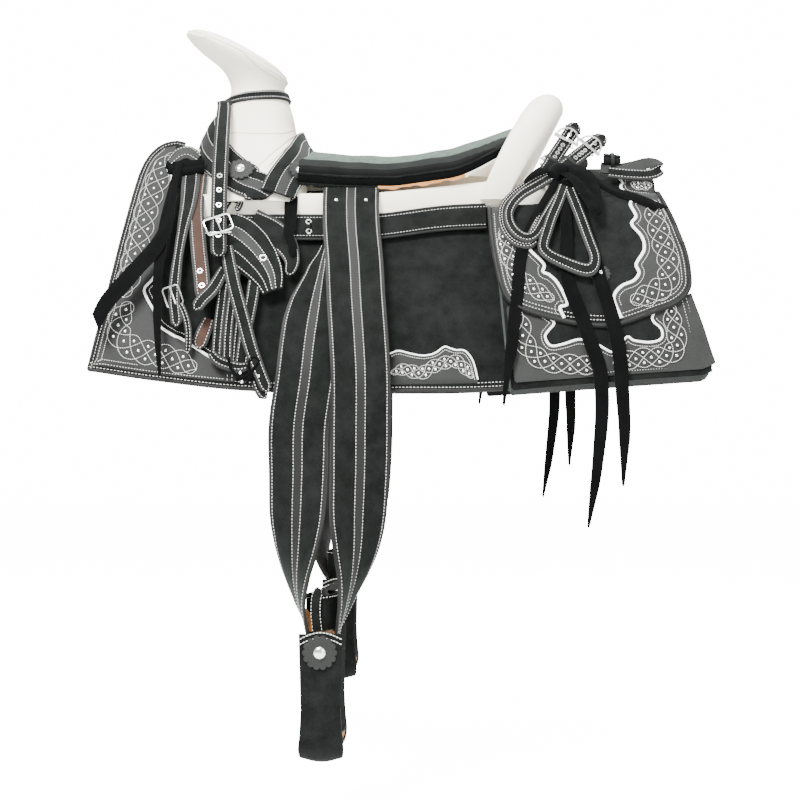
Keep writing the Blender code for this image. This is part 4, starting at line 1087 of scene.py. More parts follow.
    def build_bar(self, side: Side) -> None:
        """Build one bar: its thickness rises from its lower edge with a quarter sine of its height."""
        xs = np.concatenate([np.linspace(-0.283, -0.26, 8), np.linspace(-0.25, 0.235, 70),
                             np.linspace(0.237, 0.244, 4)])
        low = np.interp(xs, *zip(*self.bar_bottom))
        high = np.interp(xs, *zip(*self.bar_top))
        soft = np.exp(-0.5 * (np.arange(-6, 7) / 2.5) ** 2)
        soft /= soft.sum()
        high = np.convolve(np.pad(high, 6, mode="edge"), soft, mode="valid")
        share = np.linspace(0, 1, 15)[None, :]
        thick = self.bar_edge + (self.bar_thick - self.bar_edge) * np.sin(share * math.pi / 2)
        thick = thick * np.sqrt(np.clip(1 - np.clip((share - 0.86) / 0.15, 0, 1) ** 2, 0.15, 1))
        xz = np.stack([xs[:, None] + 0 * share, low[:, None] + (high - low)[:, None] * share], axis=-1)
        part = slab(FLANK.lay(xz, BAR_N, side), FLANK.lay(xz, BAR_N + thick, side))
        make_piece("rawhide_bar_" + side.label, part, RAWHIDE, "root", ("bar_" + side.label,))

    def build_cantle(self) -> None:
        """Build the cantle: a thick round-topped slab that leans back over its arch."""
        half_width, top_z, end_top, foot = 0.156, 0.171, 0.04, 0.004
        base_x, lean, dish, thick_top, thick_foot = 0.165, 0.45, 0.018, 0.054, 0.038
        share = np.sin(np.radians(np.linspace(-90, 90, 61)))[:, None]
        top = end_top + (top_z - end_top) * (1 - np.abs(share) ** 2.3) ** 0.55
        round_z = np.minimum(0.5 * thick_top, 0.6 * (top - foot))
        rise = np.radians(np.linspace(0, 180, 17))[None, :]
        legs = np.linspace(0, 1, 8)[None, :-1]

        def section(z: np.ndarray, turn: np.ndarray, climb: np.ndarray) -> np.ndarray:
            """Points of the slab at heights z, turned round its top."""
            half = np.interp(z, [0.02, 0.14], [thick_foot, thick_top]) / 2
            x = base_x + lean * (z - 0.05) - dish * share ** 2 - half * np.cos(turn) + lean * climb * 0.5
            return np.stack([x, share * half_width + 0 * x, z + climb + 0 * x], axis=-1)

        straight = foot + (top - round_z - foot) * legs
        front = section(straight, 0 * straight, 0 * straight)
        crest = section(top - round_z + 0 * rise, rise + 0 * share, round_z * np.sin(rise))
        back = section(straight[:, ::-1], math.pi + 0 * straight, 0 * straight)
        rings = np.concatenate([front, crest, back], axis=1)
        cantle = make_piece("rawhide_cantle", loft(rings), RAWHIDE, "root", ("cantle",))
        self.hollow(cantle, self.cantle_arch)

    def build(self) -> None:
        """Build the whole tree."""
        self.build_fork()
        for side in Side:
            self.build_bar(side)
        self.build_cantle()


class OnFork:
    """A band's middle line on the fork's skin, with places beside it and above it."""

    tilt, stations = 0.01, 96

    def __init__(self, tree: Tree, route: Points, n: float, closed: bool = False) -> None:
        """Smooth the route and find, at each station, how to step square to it on the skin.

        Args:
            tree: The tree with the fork.
            route: (turn, height) points; those past the middle are mirrored from the near side.
            n: Height of the band's lower face above the skin.
            closed: Whether it runs right round.
        """
        self.tree, self.n, self.closed = tree, n, closed
        if closed:
            turn = np.linspace(0, 360, self.stations + 1)[:-1]
            line = np.stack([turn, route[0][1] + self.tilt * np.cos(np.radians(turn))], 1)
            climb = -self.tilt * np.radians(1.0) * np.sin(np.radians(turn))
            around = np.stack([np.full(self.stations, 1.0), climb], 1)
        else:
            near = curve_through(route, 10)
            middle = 180.0 if near[-1, 0] > 90 else 0.0
            line = np.vstack([near, (near * [-1, 1] + [2 * middle, 0])[-2::-1]])
            around = np.gradient(line, axis=0)
        self.line = line
        self.normal, by_turn, by_height = tree.slopes(line[:, 0], line[:, 1])
        across = unit(np.cross(self.normal, by_turn * around[:, :1] + by_height * around[:, 1:]))
        g = np.empty((len(line), 2, 2))
        g[:, 0, 0] = (by_turn ** 2).sum(1)
        g[:, 0, 1] = g[:, 1, 0] = (by_turn * by_height).sum(1)
        g[:, 1, 1] = (by_height ** 2).sum(1)
        right = np.stack([(by_turn * across).sum(1), (by_height * across).sum(1)], 1)
        self.step = np.linalg.solve(g, right[..., None])[..., 0]

    def at(self, offset: np.ndarray, lift: np.ndarray | float) -> np.ndarray:
        """Places at offsets across the band, raised by lift."""
        turn = self.line[:, None, 0] + self.step[:, None, 0] * offset
        height = self.line[:, None, 1] + self.step[:, None, 1] * offset
        normal = self.tree.slopes(turn, height)[0]
        lift = np.broadcast_to(np.asarray(lift, dtype=float), offset.shape)
        return self.tree.skin(turn, height) + normal * (self.n + lift)[..., None]

    def normals(self) -> np.ndarray:
        """Directions away from the skin at each station."""
        return self.normal


def flower(centre: np.ndarray, normal: np.ndarray, radius: float, work: Work) -> None:
    """Lay a leather flower with a domed concho on a face.

    Its outline is radius * (0.86 + 0.14 * |cos| ** 0.6) over half a petal's turn.

    Args:
        centre: Place on the face.
        normal: Direction away from the face.
        radius: Reach of the petals.
        work: Collection to add to.
    """
    petals = 14
    normal = unit(normal)
    side = unit(np.cross(normal, np.array([0.0, 0.0, 1.0])))
    turn = full_turn(petals * 10)
    disc = circle(side, np.cross(normal, side), turn)
    edge = radius * (0.86 + 0.14 * np.abs(np.cos(turn * petals / 2)) ** 0.6)

    def ring(size: np.ndarray | float, rise: float) -> np.ndarray:
        """Points round the flower at a size and a height."""
        size = np.broadcast_to(np.asarray(size, dtype=float), turn.shape)[:, None]
        return centre + size * disc + normal * rise

    rows = [ring(0.001, 0), ring(edge * 0.96, 0), ring(edge, 0.0006), ring(edge * 0.97, 0.002),
            ring(edge * 0.9, 0.0024), ring(radius * 0.5, 0.0026), ring(0.001, 0.0026)]
    work.add(CHARCOAL, loft(np.stack(rows)))
    dome = radius * 0.37
    rows = [ring(dome * math.cos(a), 0.0026 + 0.0042 * math.sin(a))
            for a in np.radians([0, 18, 38, 58, 76, 88])]
    work.add(STEEL, loft(np.stack([ring(dome, 0.0015), *rows])))


class ForkBands:
    """Striped bands round the fork with their flowers, and the loop round its neck."""

    width, back_width, clearance = 0.05, 0.042, 0.0012
    neck_z = 0.164

    def __init__(self, tree: Tree) -> None:
        """Keep the tree that the bands lie on."""
        self.tree = tree

    def build(self) -> None:
        """Build both bands, the ties and the neck loop."""
        routes = (("front", self.width, self.clearance, (95.5, 0.042), 0.0195,
                   [(80, 0.008), (88, 0.0195), (97, 0.033), (109, 0.051), (128, 0.077), (154, 0.106),
                    (180, 0.119)]),
                  ("back", self.back_width, self.clearance + STRAP_THICK + 0.003, (59, 0.0375), 0.0165,
                   [(75, 0.004), (71, 0.022), (64, 0.04), (50, 0.062), (28, 0.086), (0, 0.1)]))
        for name, width, n, (turn, height), radius, route in routes:
            work = Work("fork_band_%s_dressed" % name)
            line = OnFork(self.tree, route, n)
            Strap(line, width, layout=Layout.STRIPED, round_ends=False, stripes=2).dress(work)
            for sign in (1.0, -1.0):
                spot = np.array([sign * turn]), np.array([height])
                normal = self.tree.slopes(*spot)[0][0]
                centre = self.tree.skin(*spot)[0] + normal * (n + STRAP_THICK + INLAY_THICK)
                flower(centre, normal, radius, work)
            work.make("fork_band_" + name)
        for side in Side:
            work = Work("fork_tie_" + side.label)
            lay_strap(work, mm([(-147, -8), (-147, -48), (-148, -66), (-142, -81), (-142, -95)]),
                      0.03, side, mm([18, 18, 15, 12, 10]), 0.0022, Layout.PLAIN, 0.004, base=RIBBON)
            lay_strap(work, mm([(-236, -26), (-229, -14), (-216, -18), (-220, -31)]), 0.029, side, 0.0085,
                      0.0024, step=0.003, base=EDGE, border=0.002)
            work.make()
        work = Work("neck_loop")
        line = OnFork(self.tree, [(0, self.neck_z)], 0.0009, closed=True)
        Strap(line, 0.0145, base=EDGE, border=0.0024).dress(work)
        work.make("horn_strap_loop")


def seat_height(x: np.ndarray, y: np.ndarray) -> np.ndarray:
    """Height of the ground seat: its middle line less a drop that grows as y to the power 2.2."""
    middle = np.interp(x, [-0.14, -0.075, -0.007, 0.075, 0.175], [0.076, 0.069, 0.066, 0.078, 0.112])
    edge = np.interp(x, [-0.14, -0.075, -0.007, 0.075, 0.175], mm([28, 23.5, 22.5, 34, 70]))
    return middle - (middle - edge) * np.abs(y / 0.152) ** 2.2


def paint(obj: bpy.types.Object, finishes: Sequence[Finish], zones: Relief) -> None:
    """Give an object more finishes, by the number that zones finds for each face's centre."""
    for finish in finishes:
        obj.data.materials.append(finish.material())
    centres = np.zeros(len(obj.data.polygons) * 3)
    obj.data.polygons.foreach_get("center", centres)
    obj.data.polygons.foreach_set("material_index", zones(centres.reshape(-1, 3)).astype(np.int32))


class Seat:
    """The tan ground seat and the padded suede cover on it."""

    front, rear = -0.138, 0.172
    # Half widths at which the cover's painted light changes: painted highlight on the top, painted shade on the
    # sides past the first, and darker painted shade on the rolled edges past the second.
    painted_light_halves = (0.113, 0.138)
    bare_front, bare_rear = -0.03, 0.088
    tuck = 0.17

    def taper(self, x: np.ndarray) -> np.ndarray:
        """Share of its width that the seat keeps as it narrows into the cantle."""
        late = np.clip((x - 0.085) / 0.087, 0, 1)
        return 1 - self.tuck * late ** 2 * (3 - 2 * late)

    def shell(self, half: float, low: Callable[[np.ndarray, np.ndarray], np.ndarray],
              high: Callable[[np.ndarray, np.ndarray], np.ndarray]) -> Part:
        """A solid on the seat's curve between two heights above it.

        Args:
            half: Half width.
            low: Height of the lower face over (share across, x).
            high: Height of the upper face.

        Returns:
            A closed solid.
        """
        x = np.linspace(self.front, self.rear, 90)[:, None]
        soft = np.convolve(np.ones(7) / 7, np.ones(5) / 5)
        pad = len(soft) // 2
        share = np.sin(np.linspace(-90, 90, 81) * math.pi / 180)[None, :]
        y = share * half * self.taper(x)
        x, share = x + 0 * y, share + 0 * (x + 0 * y)
        padded = np.pad(seat_height(x, y), ((pad, pad), (0, 0)), mode="reflect", reflect_type="odd")
        z = np.apply_along_axis(lambda col: np.convolve(col, soft, mode="valid"), 0, padded)
        slope = np.gradient(z, axis=1) / np.gradient(y, axis=1)
        normal = unit(np.stack([0 * z, -slope, 1 + 0 * z], axis=-1))
        base = np.stack([x, y, z], axis=-1)
        return slab(base + normal * low(share, x)[..., None], base + normal * high(share, x)[..., None])

    def build(self) -> None:
        """Build the ground seat with its rough edge, and the cover."""
        def ragged(share: np.ndarray, x: np.ndarray) -> np.ndarray:
            """Lower face of the ground seat, torn to an uneven edge."""
            tear = 0.0012 * np.sin(x * 130) + 0.001 * np.sin(x * 311 + 1.0)
            return -0.004 + 0.0015 * (np.abs(share) > 0.995) + tear * (np.abs(share) > 0.98)

        ground = self.shell(0.1545, ragged, lambda s, x: 0 * s + 0.0002)
        obj = make_piece("ground_seat_leather", ground, NATURAL, "root", ("ground_seat",))
        paint(obj, (SUEDE, RAWHIDE),
              lambda p: np.where(p[:, 0] > self.bare_rear, 2, np.where(p[:, 0] < self.bare_front, 1, 0)))

        def top(share: np.ndarray, x: np.ndarray) -> np.ndarray:
            """Upper face of the cover: padded, lumpy and rolled under at its long edges."""
            roll = np.sqrt(np.clip(1 - np.clip((np.abs(share) - 0.9) / 0.1, 0, 1) ** 2, 0, 1))
            lump = 0.0007 * np.sin(x * 96 + 3 * share) * np.sin(share * 9 + x * 41)
            return 0.0012 + (0.0115 + lump + 0.002 * (1 - np.abs(share) ** 3)) * (0.05 + 0.95 * roll)

        cover = self.shell(0.1535, lambda s, x: 0 * s + 0.0006, top)
        obj = make_piece("padded_seat_cover", cover, LIT_SEAT_SUEDE, "root", ("seat_cover",))
        # Painted light on one black suede: the lighter suede paints the lit top, the black suede the shaded
        # sides and the darkest suede the shaded rolled edges.
        paint(obj, (SUEDE, RIBBON), lambda p: np.searchsorted(self.painted_light_halves, np.abs(p[:, 1])))
        x = np.linspace(self.front, self.rear, 60)
        for side in Side:
            y = side.value * 0.1485 * self.taper(x)
            path = np.stack([x, y + side.value * 0.006, seat_height(x, y) + 0.009], axis=1)
            make_piece("seat_seam_" + side.label, tube(path, 0.0016, 6), SUEDE, "root")


class Skirts:
    """Fleece, square skirts, their overlays with lattice, and the jockey bands."""

    edge = mm([(-299, 12), (-302, 86), (-316, 89), (-336, 82), (-352, 62), (-362, 28), (-373, -51),
               (-386, -145), (-402, -232)])
    bottom = mm([(-402, -232), (-306, -246), (-186, -258), (-6, -259), (148, -256), (402, -233)])
    rear = mm([(402, -233), (377, -134), (354, -16), (354, 12)])
    scallops = mm([(-211, -238), (-278, -197), (-294, -190), (-314, -176), (-321, -158), (-331, -142),
                   (-336, -128), (-324, -110), (-322, -71), (-324, -51), (-318, -30), (-314, 4), (-316, 40)])
    middle_top = mm([(-13, -212.5), (-2, -209), (14, -212.5), (30, -215), (45, -212), (57, -204),
                     (64, -205.5), (72, -208), (84, -209), (94, -222), (100, -246)])
    jockey_drop = 0.034

    def outline(self) -> np.ndarray:
        """Outline of the skirt in side view: round in front, square behind."""
        front = np.vstack([[self.edge[0]], curve_through(self.edge[1:], 6)])
        return np.vstack([front, curve_through(self.bottom, 6), np.array(self.rear)])

    def build(self, side: Side) -> None:
        """Build one side."""
        label, face = side.label, SKIRT_N + SKIRT_THICK
        work = Work("skirt_suede_" + label)
        work.add(SUEDE, panel(self.outline(), SKIRT_N, SKIRT_THICK, side))
        bottom, front = curve_through(self.bottom, 8), curve_through(self.edge[1:], 8)
        for inset in (0.0035, 0.0085):
            work.sew(moved(bottom, inset), face, side, 0.0046)
        work.bind(bottom, face - 0.001, side, 0.0024)
        work.bind(front, face - 0.0012, side, 0.002)
        work.sew(moved(front, 0.0035), face, side)
        work.sew(moved(resample(self.rear[:3], 0.004), 0.0035), face, side)
        work.make("skirt_" + label)
        self.build_front_overlay(side)
        self.build_middle_overlay(side)
        self.build_jockey(side)
        fleece = np.vstack([curve_through(self.edge[1:], 4), curve_through(self.bottom, 4)[1:], self.rear[1:]])
        wool = panel(moved(fleece, 0.004), 0.0, 0.0088, side, 0.01,
                     lambda p: -0.001 + 0.001 * np.sin(p[:, 0] * 310) * np.sin(p[:, 1] * 290))
        make_piece("fleece_lining_" + label, wool, FLEECE, "root", ("fleece_" + label,))

    def build_front_overlay(self, side: Side) -> None:
        """Build the charcoal overlay along the skirt's front edge."""
        scallops = curve_through(self.scallops, 8)
        outer = np.vstack([curve_through(self.edge[3:], 6), curve_through(self.bottom[:3], 6)[1:]])
        outer = moved(outer, 0.006)
        outer = outer[outer[:, 0] < -0.211]
        outline = np.vstack([[(-0.314, 0.081)], outer, [(-0.211, -0.249)], scallops])
        work, face = Work("front_overlay_" + side.label), OVERLAY_N + OVERLAY_THICK
        work.add(CHARCOAL, panel(outline, OVERLAY_N - 0.0003, OVERLAY_THICK + 0.0003, side))
        work.pipe(scallops, face - 0.0002, side)
        work.sew(moved(scallops, -0.0065)[4:-4], face, side, 0.003)
        work.sew(moved(outer, 0.0028), face, side, 0.0038)
        work.sew(moved(outer, 0.0085)[6:-6], face, side, 0.003)
        for x in (-0.216, -0.222):
            work.sew(np.array([(x, -0.2385), (x, -0.248)]), face, side)
        Braid(mm([(-312, 68), (-325, 50), (-336.5, 20), (-343.5, -11), (-348, -44), (-352, -75), (-357, -106),
                  (-363, -140)]), reach=0.0165).dress(work, side)
        Braid(mm([(-352, -146), (-366, -172), (-362, -192), (-343, -207), (-316, -214), (-292, -220),
                  (-262, -233)]), reach=0.0155).dress(work, side)
        work.make("skirt_front_overlay_" + side.label)

    def build_middle_overlay(self, side: Side) -> None:
        """Build the charcoal overlay low in the middle of the skirt."""
        top = curve_through(self.middle_top, 6)
        outline = np.vstack([top, mm([(100, -250.5), (-13, -252.5)])])
        work, face = Work("middle_overlay_" + side.label), OVERLAY_N + OVERLAY_THICK
        work.add(CHARCOAL, panel(outline, OVERLAY_N - 0.0003, OVERLAY_THICK + 0.0003, side))
        work.pipe(top, face - 0.0003, side, 0.0012)
        work.sew(moved(top, -0.004), face, side, 0.003)
        Braid(mm([(-12, -238), (6, -233), (26, -238), (41, -230), (59, -224), (75, -224), (94, -244)]),
              reach=0.0085, wave=0.06).dress(work, side)
        work.make("skirt_middle_overlay_" + side.label)

    def build_jockey(self, side: Side) -> None:
        """Build the band of leather that runs along under the bar."""
        xs = np.linspace(-0.24, 0.116, 60)
        low = np.interp(xs, *zip(*Tree.bar_bottom))
        soft = np.ones(9) / 9
        upper = np.stack([xs, np.convolve(np.pad(low, 4, mode="edge"), soft, "valid") - 0.0006], axis=1)
        lower = upper - [0, self.jockey_drop]
        work, face = Work("jockey_band_" + side.label), JOCKEY_N + 0.0035
        work.add(SUEDE, panel(np.vstack([upper, lower[::-1]]), JOCKEY_N, 0.0035, side))
        for line, distance in ((upper, -0.004), (lower, 0.004)):
            work.sew(moved(line, distance), face, side)
            work.add(EDGE, tube(FLANK.lay(line, face - 0.0012, side), 0.0016))
        work.add(STEEL, eyelets(*FLANK.place(mm([(-123, -40.5), (-122, -54.5)]), face, side), 0.0034, 0.0012))
        lace = curve_through(mm([(-123, -40.5), (-119, -47.5), (-122, -54.5)]), 8)
        work.add(RIBBON, tube(FLANK.lay(lace, face + 0.0004, side), 0.001, 6))
        work.make("jockey_" + side.label)


class SaddleBag:
    """A bag with its windowed front, its flap with lattice, and the yoke that joins both bags."""

    top = mm([(124, -40), (350, -18)])
    sides = mm([(350, -18), (372, -150), (397, -236), (394, -244), (386, -249), (141, -266), (135, -199),
                (124, -40)])
    flap_edge = mm([(346, -18.4), (355, -40), (365, -70), (373, -100), (375, -128), (372, -146), (355, -163),
                    (325, -175), (281, -190), (252, -192), (222, -189), (190, -182), (158, -172), (141, -161),
                    (132, -145), (126, -120), (121, -85), (119, -40.5)])
    window = mm([(172, -166), (180, -174), (197, -187), (190, -196), (185, -203), (192, -213), (208, -211),
                 (229, -206), (250, -211), (270, -221), (279, -212), (290, -203), (298, -207), (318, -209),
                 (333, -205), (334, -195), (323, -183), (332, -166)])
    right_edge = mm([(312, -21), (313, -27), (307, -36), (313, -53), (306, -64), (318, -80), (319, -98),
                     (307, -117), (310, -127), (302, -136), (285, -143), (275, -158), (283, -184)])
    left_edge = mm([(141, -41), (148, -66), (170, -98), (187, -117), (185, -126), (194, -130), (205, -141),
                    (215, -165), (205, -170), (210, -184)])

    def build_body(self, side: Side) -> None:
        """Build the bag: a bellied front, a dark gusset and a lattice frame round a suede window."""
        work, face = Work("bag_" + side.label), BAG_N + BAG_DEPTH
        ring = np.vstack([curve_through(self.sides[:3], 5), curve_through(self.sides[2:5], 4)[1:],
                          self.sides[5:]])

        def belly(p: np.ndarray) -> np.ndarray:
            """Rise of the front: fullest in its middle, drawn in towards its edges."""
            across = np.clip((p[:, 0] - 0.13) / 0.255, 0, 1)
            down = np.clip((-0.02 - p[:, 1]) / 0.24, 0, 1)
            return 0.0026 * np.sin(across * math.pi) ** 0.6 * np.sin(down * math.pi) ** 0.6 - 0.003

        work.add(SUEDE, panel(ring, BAG_N, BAG_DEPTH, side, 0.008, belly, bevel=0.004))
        window = curve_through(self.window, 6)
        frame = np.vstack([moved(curve_through(self.sides[1:3], 5), 0.004),
                           mm([(383.5, -242.5), (145, -259), (139, -199), (136.5, -166)]), window])
        work.add(CHARCOAL, panel(frame, face - 0.0012, 0.0014, side, 0.007, belly))
        lift = face + 0.0004
        work.pipe(window, lift, side, 0.0016, belly)
        for path, pitch in ((moved(window, -0.005)[5:-5], 0.003),
                            (mm([(143, -170), (145.5, -199), (148.5, -254)]), 0.004),
                            (mm([(149, -254), (378, -238.5)]), 0.0034),
                            (mm([(378, -238.5), (362, -150)]), 0.004),
                            (mm([(385, -240), (368, -150)]), 0.0046)):
            work.sew(path, lift, side, pitch, rise=belly)
        for spine in (mm([(147.5, -172), (154.5, -190), (160, -212), (183, -233), (222, -237), (258, -240)]),
                      mm([(348, -164), (349, -190), (353, -212), (338, -226), (305, -229), (270, -236)])):
            Braid(spine, 0.0125, 0.08, lift + 0.0002).dress(work, side)
        work.make("bag_body_" + side.label)

    def build_flap(self, side: Side) -> None:
        """Build the flap with its rolled edge, two charcoal overlays and their lattice."""
        work = Work("bag_flap_suede_" + side.label, "flap_" + side.label)
        edge = curve_through(self.flap_edge, 5)
        work.add(SUEDE, panel(edge, FLAP_N, STRAP_THICK, side))
        face = FLAP_N + STRAP_THICK
        work.bind(edge, face - 0.001, side, 0.003, 0.005)
        for inset in (0.0055, 0.0105):
            work.sew(moved(resample(edge, 0.003), -inset)[3:-3], face + 0.0011, side)
        inner = moved(resample(edge, 0.004), -0.0025)
        right, left = curve_through(self.right_edge, 6), curve_through(self.left_edge, 6)
        for scallops, rest, sign, spine, reach in (
                (right, inner[inner[:, 0] > 0.283][::-1], 1,
                 mm([(336, -30), (339, -60), (344, -90), (349, -118), (343, -140), (322, -153),
                     (296, -163)]), 0.0145),
                (left, inner[inner[:, 0] < 0.21], -1,
                 mm([(134, -70), (139, -98), (148, -122), (165, -141), (198, -161)]), 0.011)):
            work.add(CHARCOAL, panel(np.vstack([scallops, rest]), face - 0.0006, 0.0014, side))
            work.pipe(scallops, face + 0.0006, side, 0.0021)
            work.sew(moved(scallops, sign * 0.0065)[3:-3], face + 0.0008, side, 0.003)
            Braid(spine, reach, 0.084, face + 0.0008).dress(work, side)
        flower(*FLANK.place(np.array([0.259, -0.129]), face, side), 0.014, work)
        work.make("bag_flap_" + side.label)

    def build_yoke(self) -> None:
        """Build the panel over the loin that joins the two bags."""
        x = np.linspace(0.254, 0.35, 20)
        top = np.interp(x, *zip(*self.top))
        n = OVERLAY_N + STRAP_THICK
        faces = []
        for height in (OVERLAY_N, n):
            z = np.stack([top + 0.0006 + (0.022 - top) * t for t in np.linspace(0, 1, 10)], axis=1)
            sides = FLANK.lay(np.stack([x[:, None] + 0 * z, z], axis=-1), height, Side.NEAR)
            y0, z0 = sides[:, -1, 1], sides[:, -1, 2]
            share = np.linspace(1, 0, 12)[None, 1:]
            rise = 0.062 + height - OVERLAY_N - z0
            over = np.stack([x[:, None] + 0 * share, y0[:, None] * share,
                             z0[:, None] + rise[:, None] * (1 - share ** 2)], axis=-1)
            half = np.concatenate([sides, over], axis=1)
            faces.append(np.concatenate([half, (half * [1, -1, 1])[:, -2::-1]], axis=1))
        work = Work("bag_yoke_leather")
        work.add(SUEDE, slab(*faces))
        for row in faces[1][[1, 18]]:
            work.add(THREAD, stitches(row, np.tile([0.0, 0.0, 1.0], (len(row), 1))))
        patch = mm([(302, 27), (306, 21), (303, 14), (308, 6), (316, 2), (347, -3), (347.8, 10), (347.8, 27)])
        row = curve_through(mm([(310.5, 25), (309, 15), (315, 8), (344.5, 3.5)]), 6)
        for side in Side:
            work.add(CHARCOAL, panel(patch, n - 0.0004, 0.0016, side, 0.006))
            work.pipe(curve_through(patch[:4], 5), n + 0.0012, side)
            work.sew(row, n + 0.0014, side, 0.003, 0.0008)
            Braid(mm([(317, 19), (332, 15), (346, 18)]), 0.0065, 0.045, n + 0.0014, 0.008).dress(work, side)
        work.make("bag_yoke")

    def build(self) -> None:
        """Build both bags and the yoke."""
        self.build_yoke()
        for side in Side:
            self.build_body(side)
            self.build_flap(side)


class Stirrup:
    """One stirrup on its twisted leathers."""

    x, y, roller_z = -0.097, 0.3, -0.578
    inside, wood, sole, ear = 0.118, 0.012, -0.7085, -0.556
    roller, roller_gap, leather_half, leather_width = 0.0145, 0.0008, 0.002, 0.076
    free_z = -0.26
    front_leg = mm([(-66, -2), (-66, -30), (-64, -65), (-60, -105), (-57, -150), (-53, -200), (-50, -250),
                    (-50, -300), (-51, -360), (-53, -410), (-55, -450), (-60, -490), (-67, -520), (-74, -545),
                    (-78.5, -560)])
    rear_leg = mm([(-98, -80), (-103, -115), (-109, -150), (-116, -200), (-121, -250), (-129, -300),
                   (-129.5, -360), (-130.5, -410), (-131, -450), (-131, -490), (-128, -520), (-121, -545),
                   (-115.5, -560)])

    def __init__(self, side: Side) -> None:
        """Keep which side the stirrup hangs on."""
        self.side = side

    def leg(self, centre: Points, n: float, twist: float, angles: Sequence[float]) -> InSpace:
        """Middle line and width directions of one leg, from the bar to the roller.

        Args:
            centre: Points in side view.
            n: Height of the leg's middle above the horse.
            twist: Sense of its quarter turn.
            angles: Degrees round the roller where it ends.

        Returns:
            The leg's surface.
        """
        path, widths, s, free = [], [], self.side.value, self.free_z
        for x, z in centre:
            p = FLANK.lay(np.array([x, max(z, free)]), n, self.side)
            if z <= free:
                share = (z - free) / (self.roller_z - free)
                p = np.array([x, p[1] + (s * self.y - p[1]) * min(1.0, share * 1.4), z])
            path.append(p)
            turn = math.radians(np.interp(z, [self.roller_z + 0.015, self.roller_z + 0.07, -0.42, -0.3],
                                          [90, 72, 22, 0])) * twist
            widths.append((math.cos(turn), s * math.sin(turn), 0))
        radius = self.roller + self.roller_gap + self.leather_half
        for a in map(math.radians, angles):
            path.append(np.array([self.x + radius * math.cos(a), s * self.y,
                                  self.roller_z + radius * math.sin(a)]))
            widths.append((0, s * math.copysign(1, twist), 0))
        return InSpace(path, widths, 6, (0, s, 0))

    def build_leathers(self) -> None:
        """Build both legs with their suede panels, thread and rivets."""
        low, high = -self.leather_half, self.leather_half
        for name, centre, n, twist, angles in (
                ("front", self.front_leg, LEATHER_N + 0.002, -1, (0, -20, -40, -60, -80)),
                ("rear", self.rear_leg, LEATHER_N - 0.0032, 1, (180, 200, 220, 240, 258))):
            surface, widths = self.leg(centre, n, twist, angles), self.leather_width
            work = Work("leather_%s_%s" % (name, self.side.label), "stirrup_leathers_" + self.side.label)
            if name == "rear":
                widths = np.interp(arc_length(surface.line), [0, 0.037, 0.074, 0.1], mm([12, 40, 60, 76]))
                widths = widths[np.linspace(0, len(widths) - 1, 60).astype(int)]
            strap = Strap(surface, widths, round_ends=False)
            work.add(EDGE, strap.strip(low, high, -1, 1, 11))
            for a, b in ((-0.88, -0.15), (0.15, 0.88)):
                work.add(SUEDE, strap.strip(0.0, high + INLAY_THICK, a, b, 7))
                for share in (a, b):
                    work.add(THREAD, strap.row(share, high + INLAY_THICK * 0.5))
            if name == "front":
                spots = mm([(-86, -20), (-46, -20)])
                work.add(STEEL, studs(*FLANK.place(spots, n + 0.0025, self.side), 0.0026, 0.0012))
            work.make("stirrup_leather_%s_%s" % (name, self.side.label))

    def profile(self, grow: float, top: float) -> np.ndarray:
        """The U that the stirrup makes from the front, (y, z), grown outwards."""
        half = self.inside / 2 + grow
        sole = self.sole + self.wood - grow
        corner = 0.022 + grow
        a = np.radians(np.linspace(0, 90, 9))
        down = np.stack([np.full(8, half), np.linspace(top, sole + corner, 9)[:-1]], 1)
        bend = np.stack([half - corner + corner * np.cos(a), sole + corner - corner * np.sin(a)], 1)
        flat = np.stack([np.linspace(half - corner, 0, 5)[1:], np.full(4, sole)], 1)
        side = np.vstack([down, bend, flat])
        return np.vstack([side, (side * [-1, 1])[-2::-1]])

    def shell(self, inner: float, outer: float, top: float, trim: float, belly: float = 0.0) -> Part:
        """A U-shaped shell, as deep fore and aft as the stirrup's waist less a trim.

        Args:
            inner: How far its inner face is grown outwards.
            outer: How far its outer face is.
            top: Height of its two ends.
            trim: How much less deep it is than the waist.
            belly: Drop of the sole's middle.

        Returns:
            A closed solid.
        """
        grids = []
        for grow in (inner, outer):
            line = self.profile(grow, top)
            along = np.linspace(-1, 1, len(line))[:, None]
            shares = np.linspace(-0.5, 0.5, 9)[None, :]
            x = self.x + (self.waist(along) - trim) * shares
            drop = -0.001 * (2 * shares) ** 6 * np.sign(outer - inner)
            drop = drop - belly * (1 - (2 * shares) ** 2) * np.sqrt(np.clip(1 - np.abs(along) / 0.4, 0, 1))
            grids.append(np.stack([x, self.side.value * self.y + line[:, :1] + 0 * x,
                                   line[:, 1:] + 0 * x + drop * (grow == outer)], axis=-1))
        return slab(*grids)

    @staticmethod
    def waist(share: np.ndarray) -> np.ndarray:
        """Fore-and-aft size along the U: wide at the ears, waisted, wide above the sole's corners."""
        return np.interp(np.abs(share), [0, 0.22, 0.33, 0.44, 0.7, 1], mm([42, 45, 53.5, 56.5, 48.5, 53.5]))

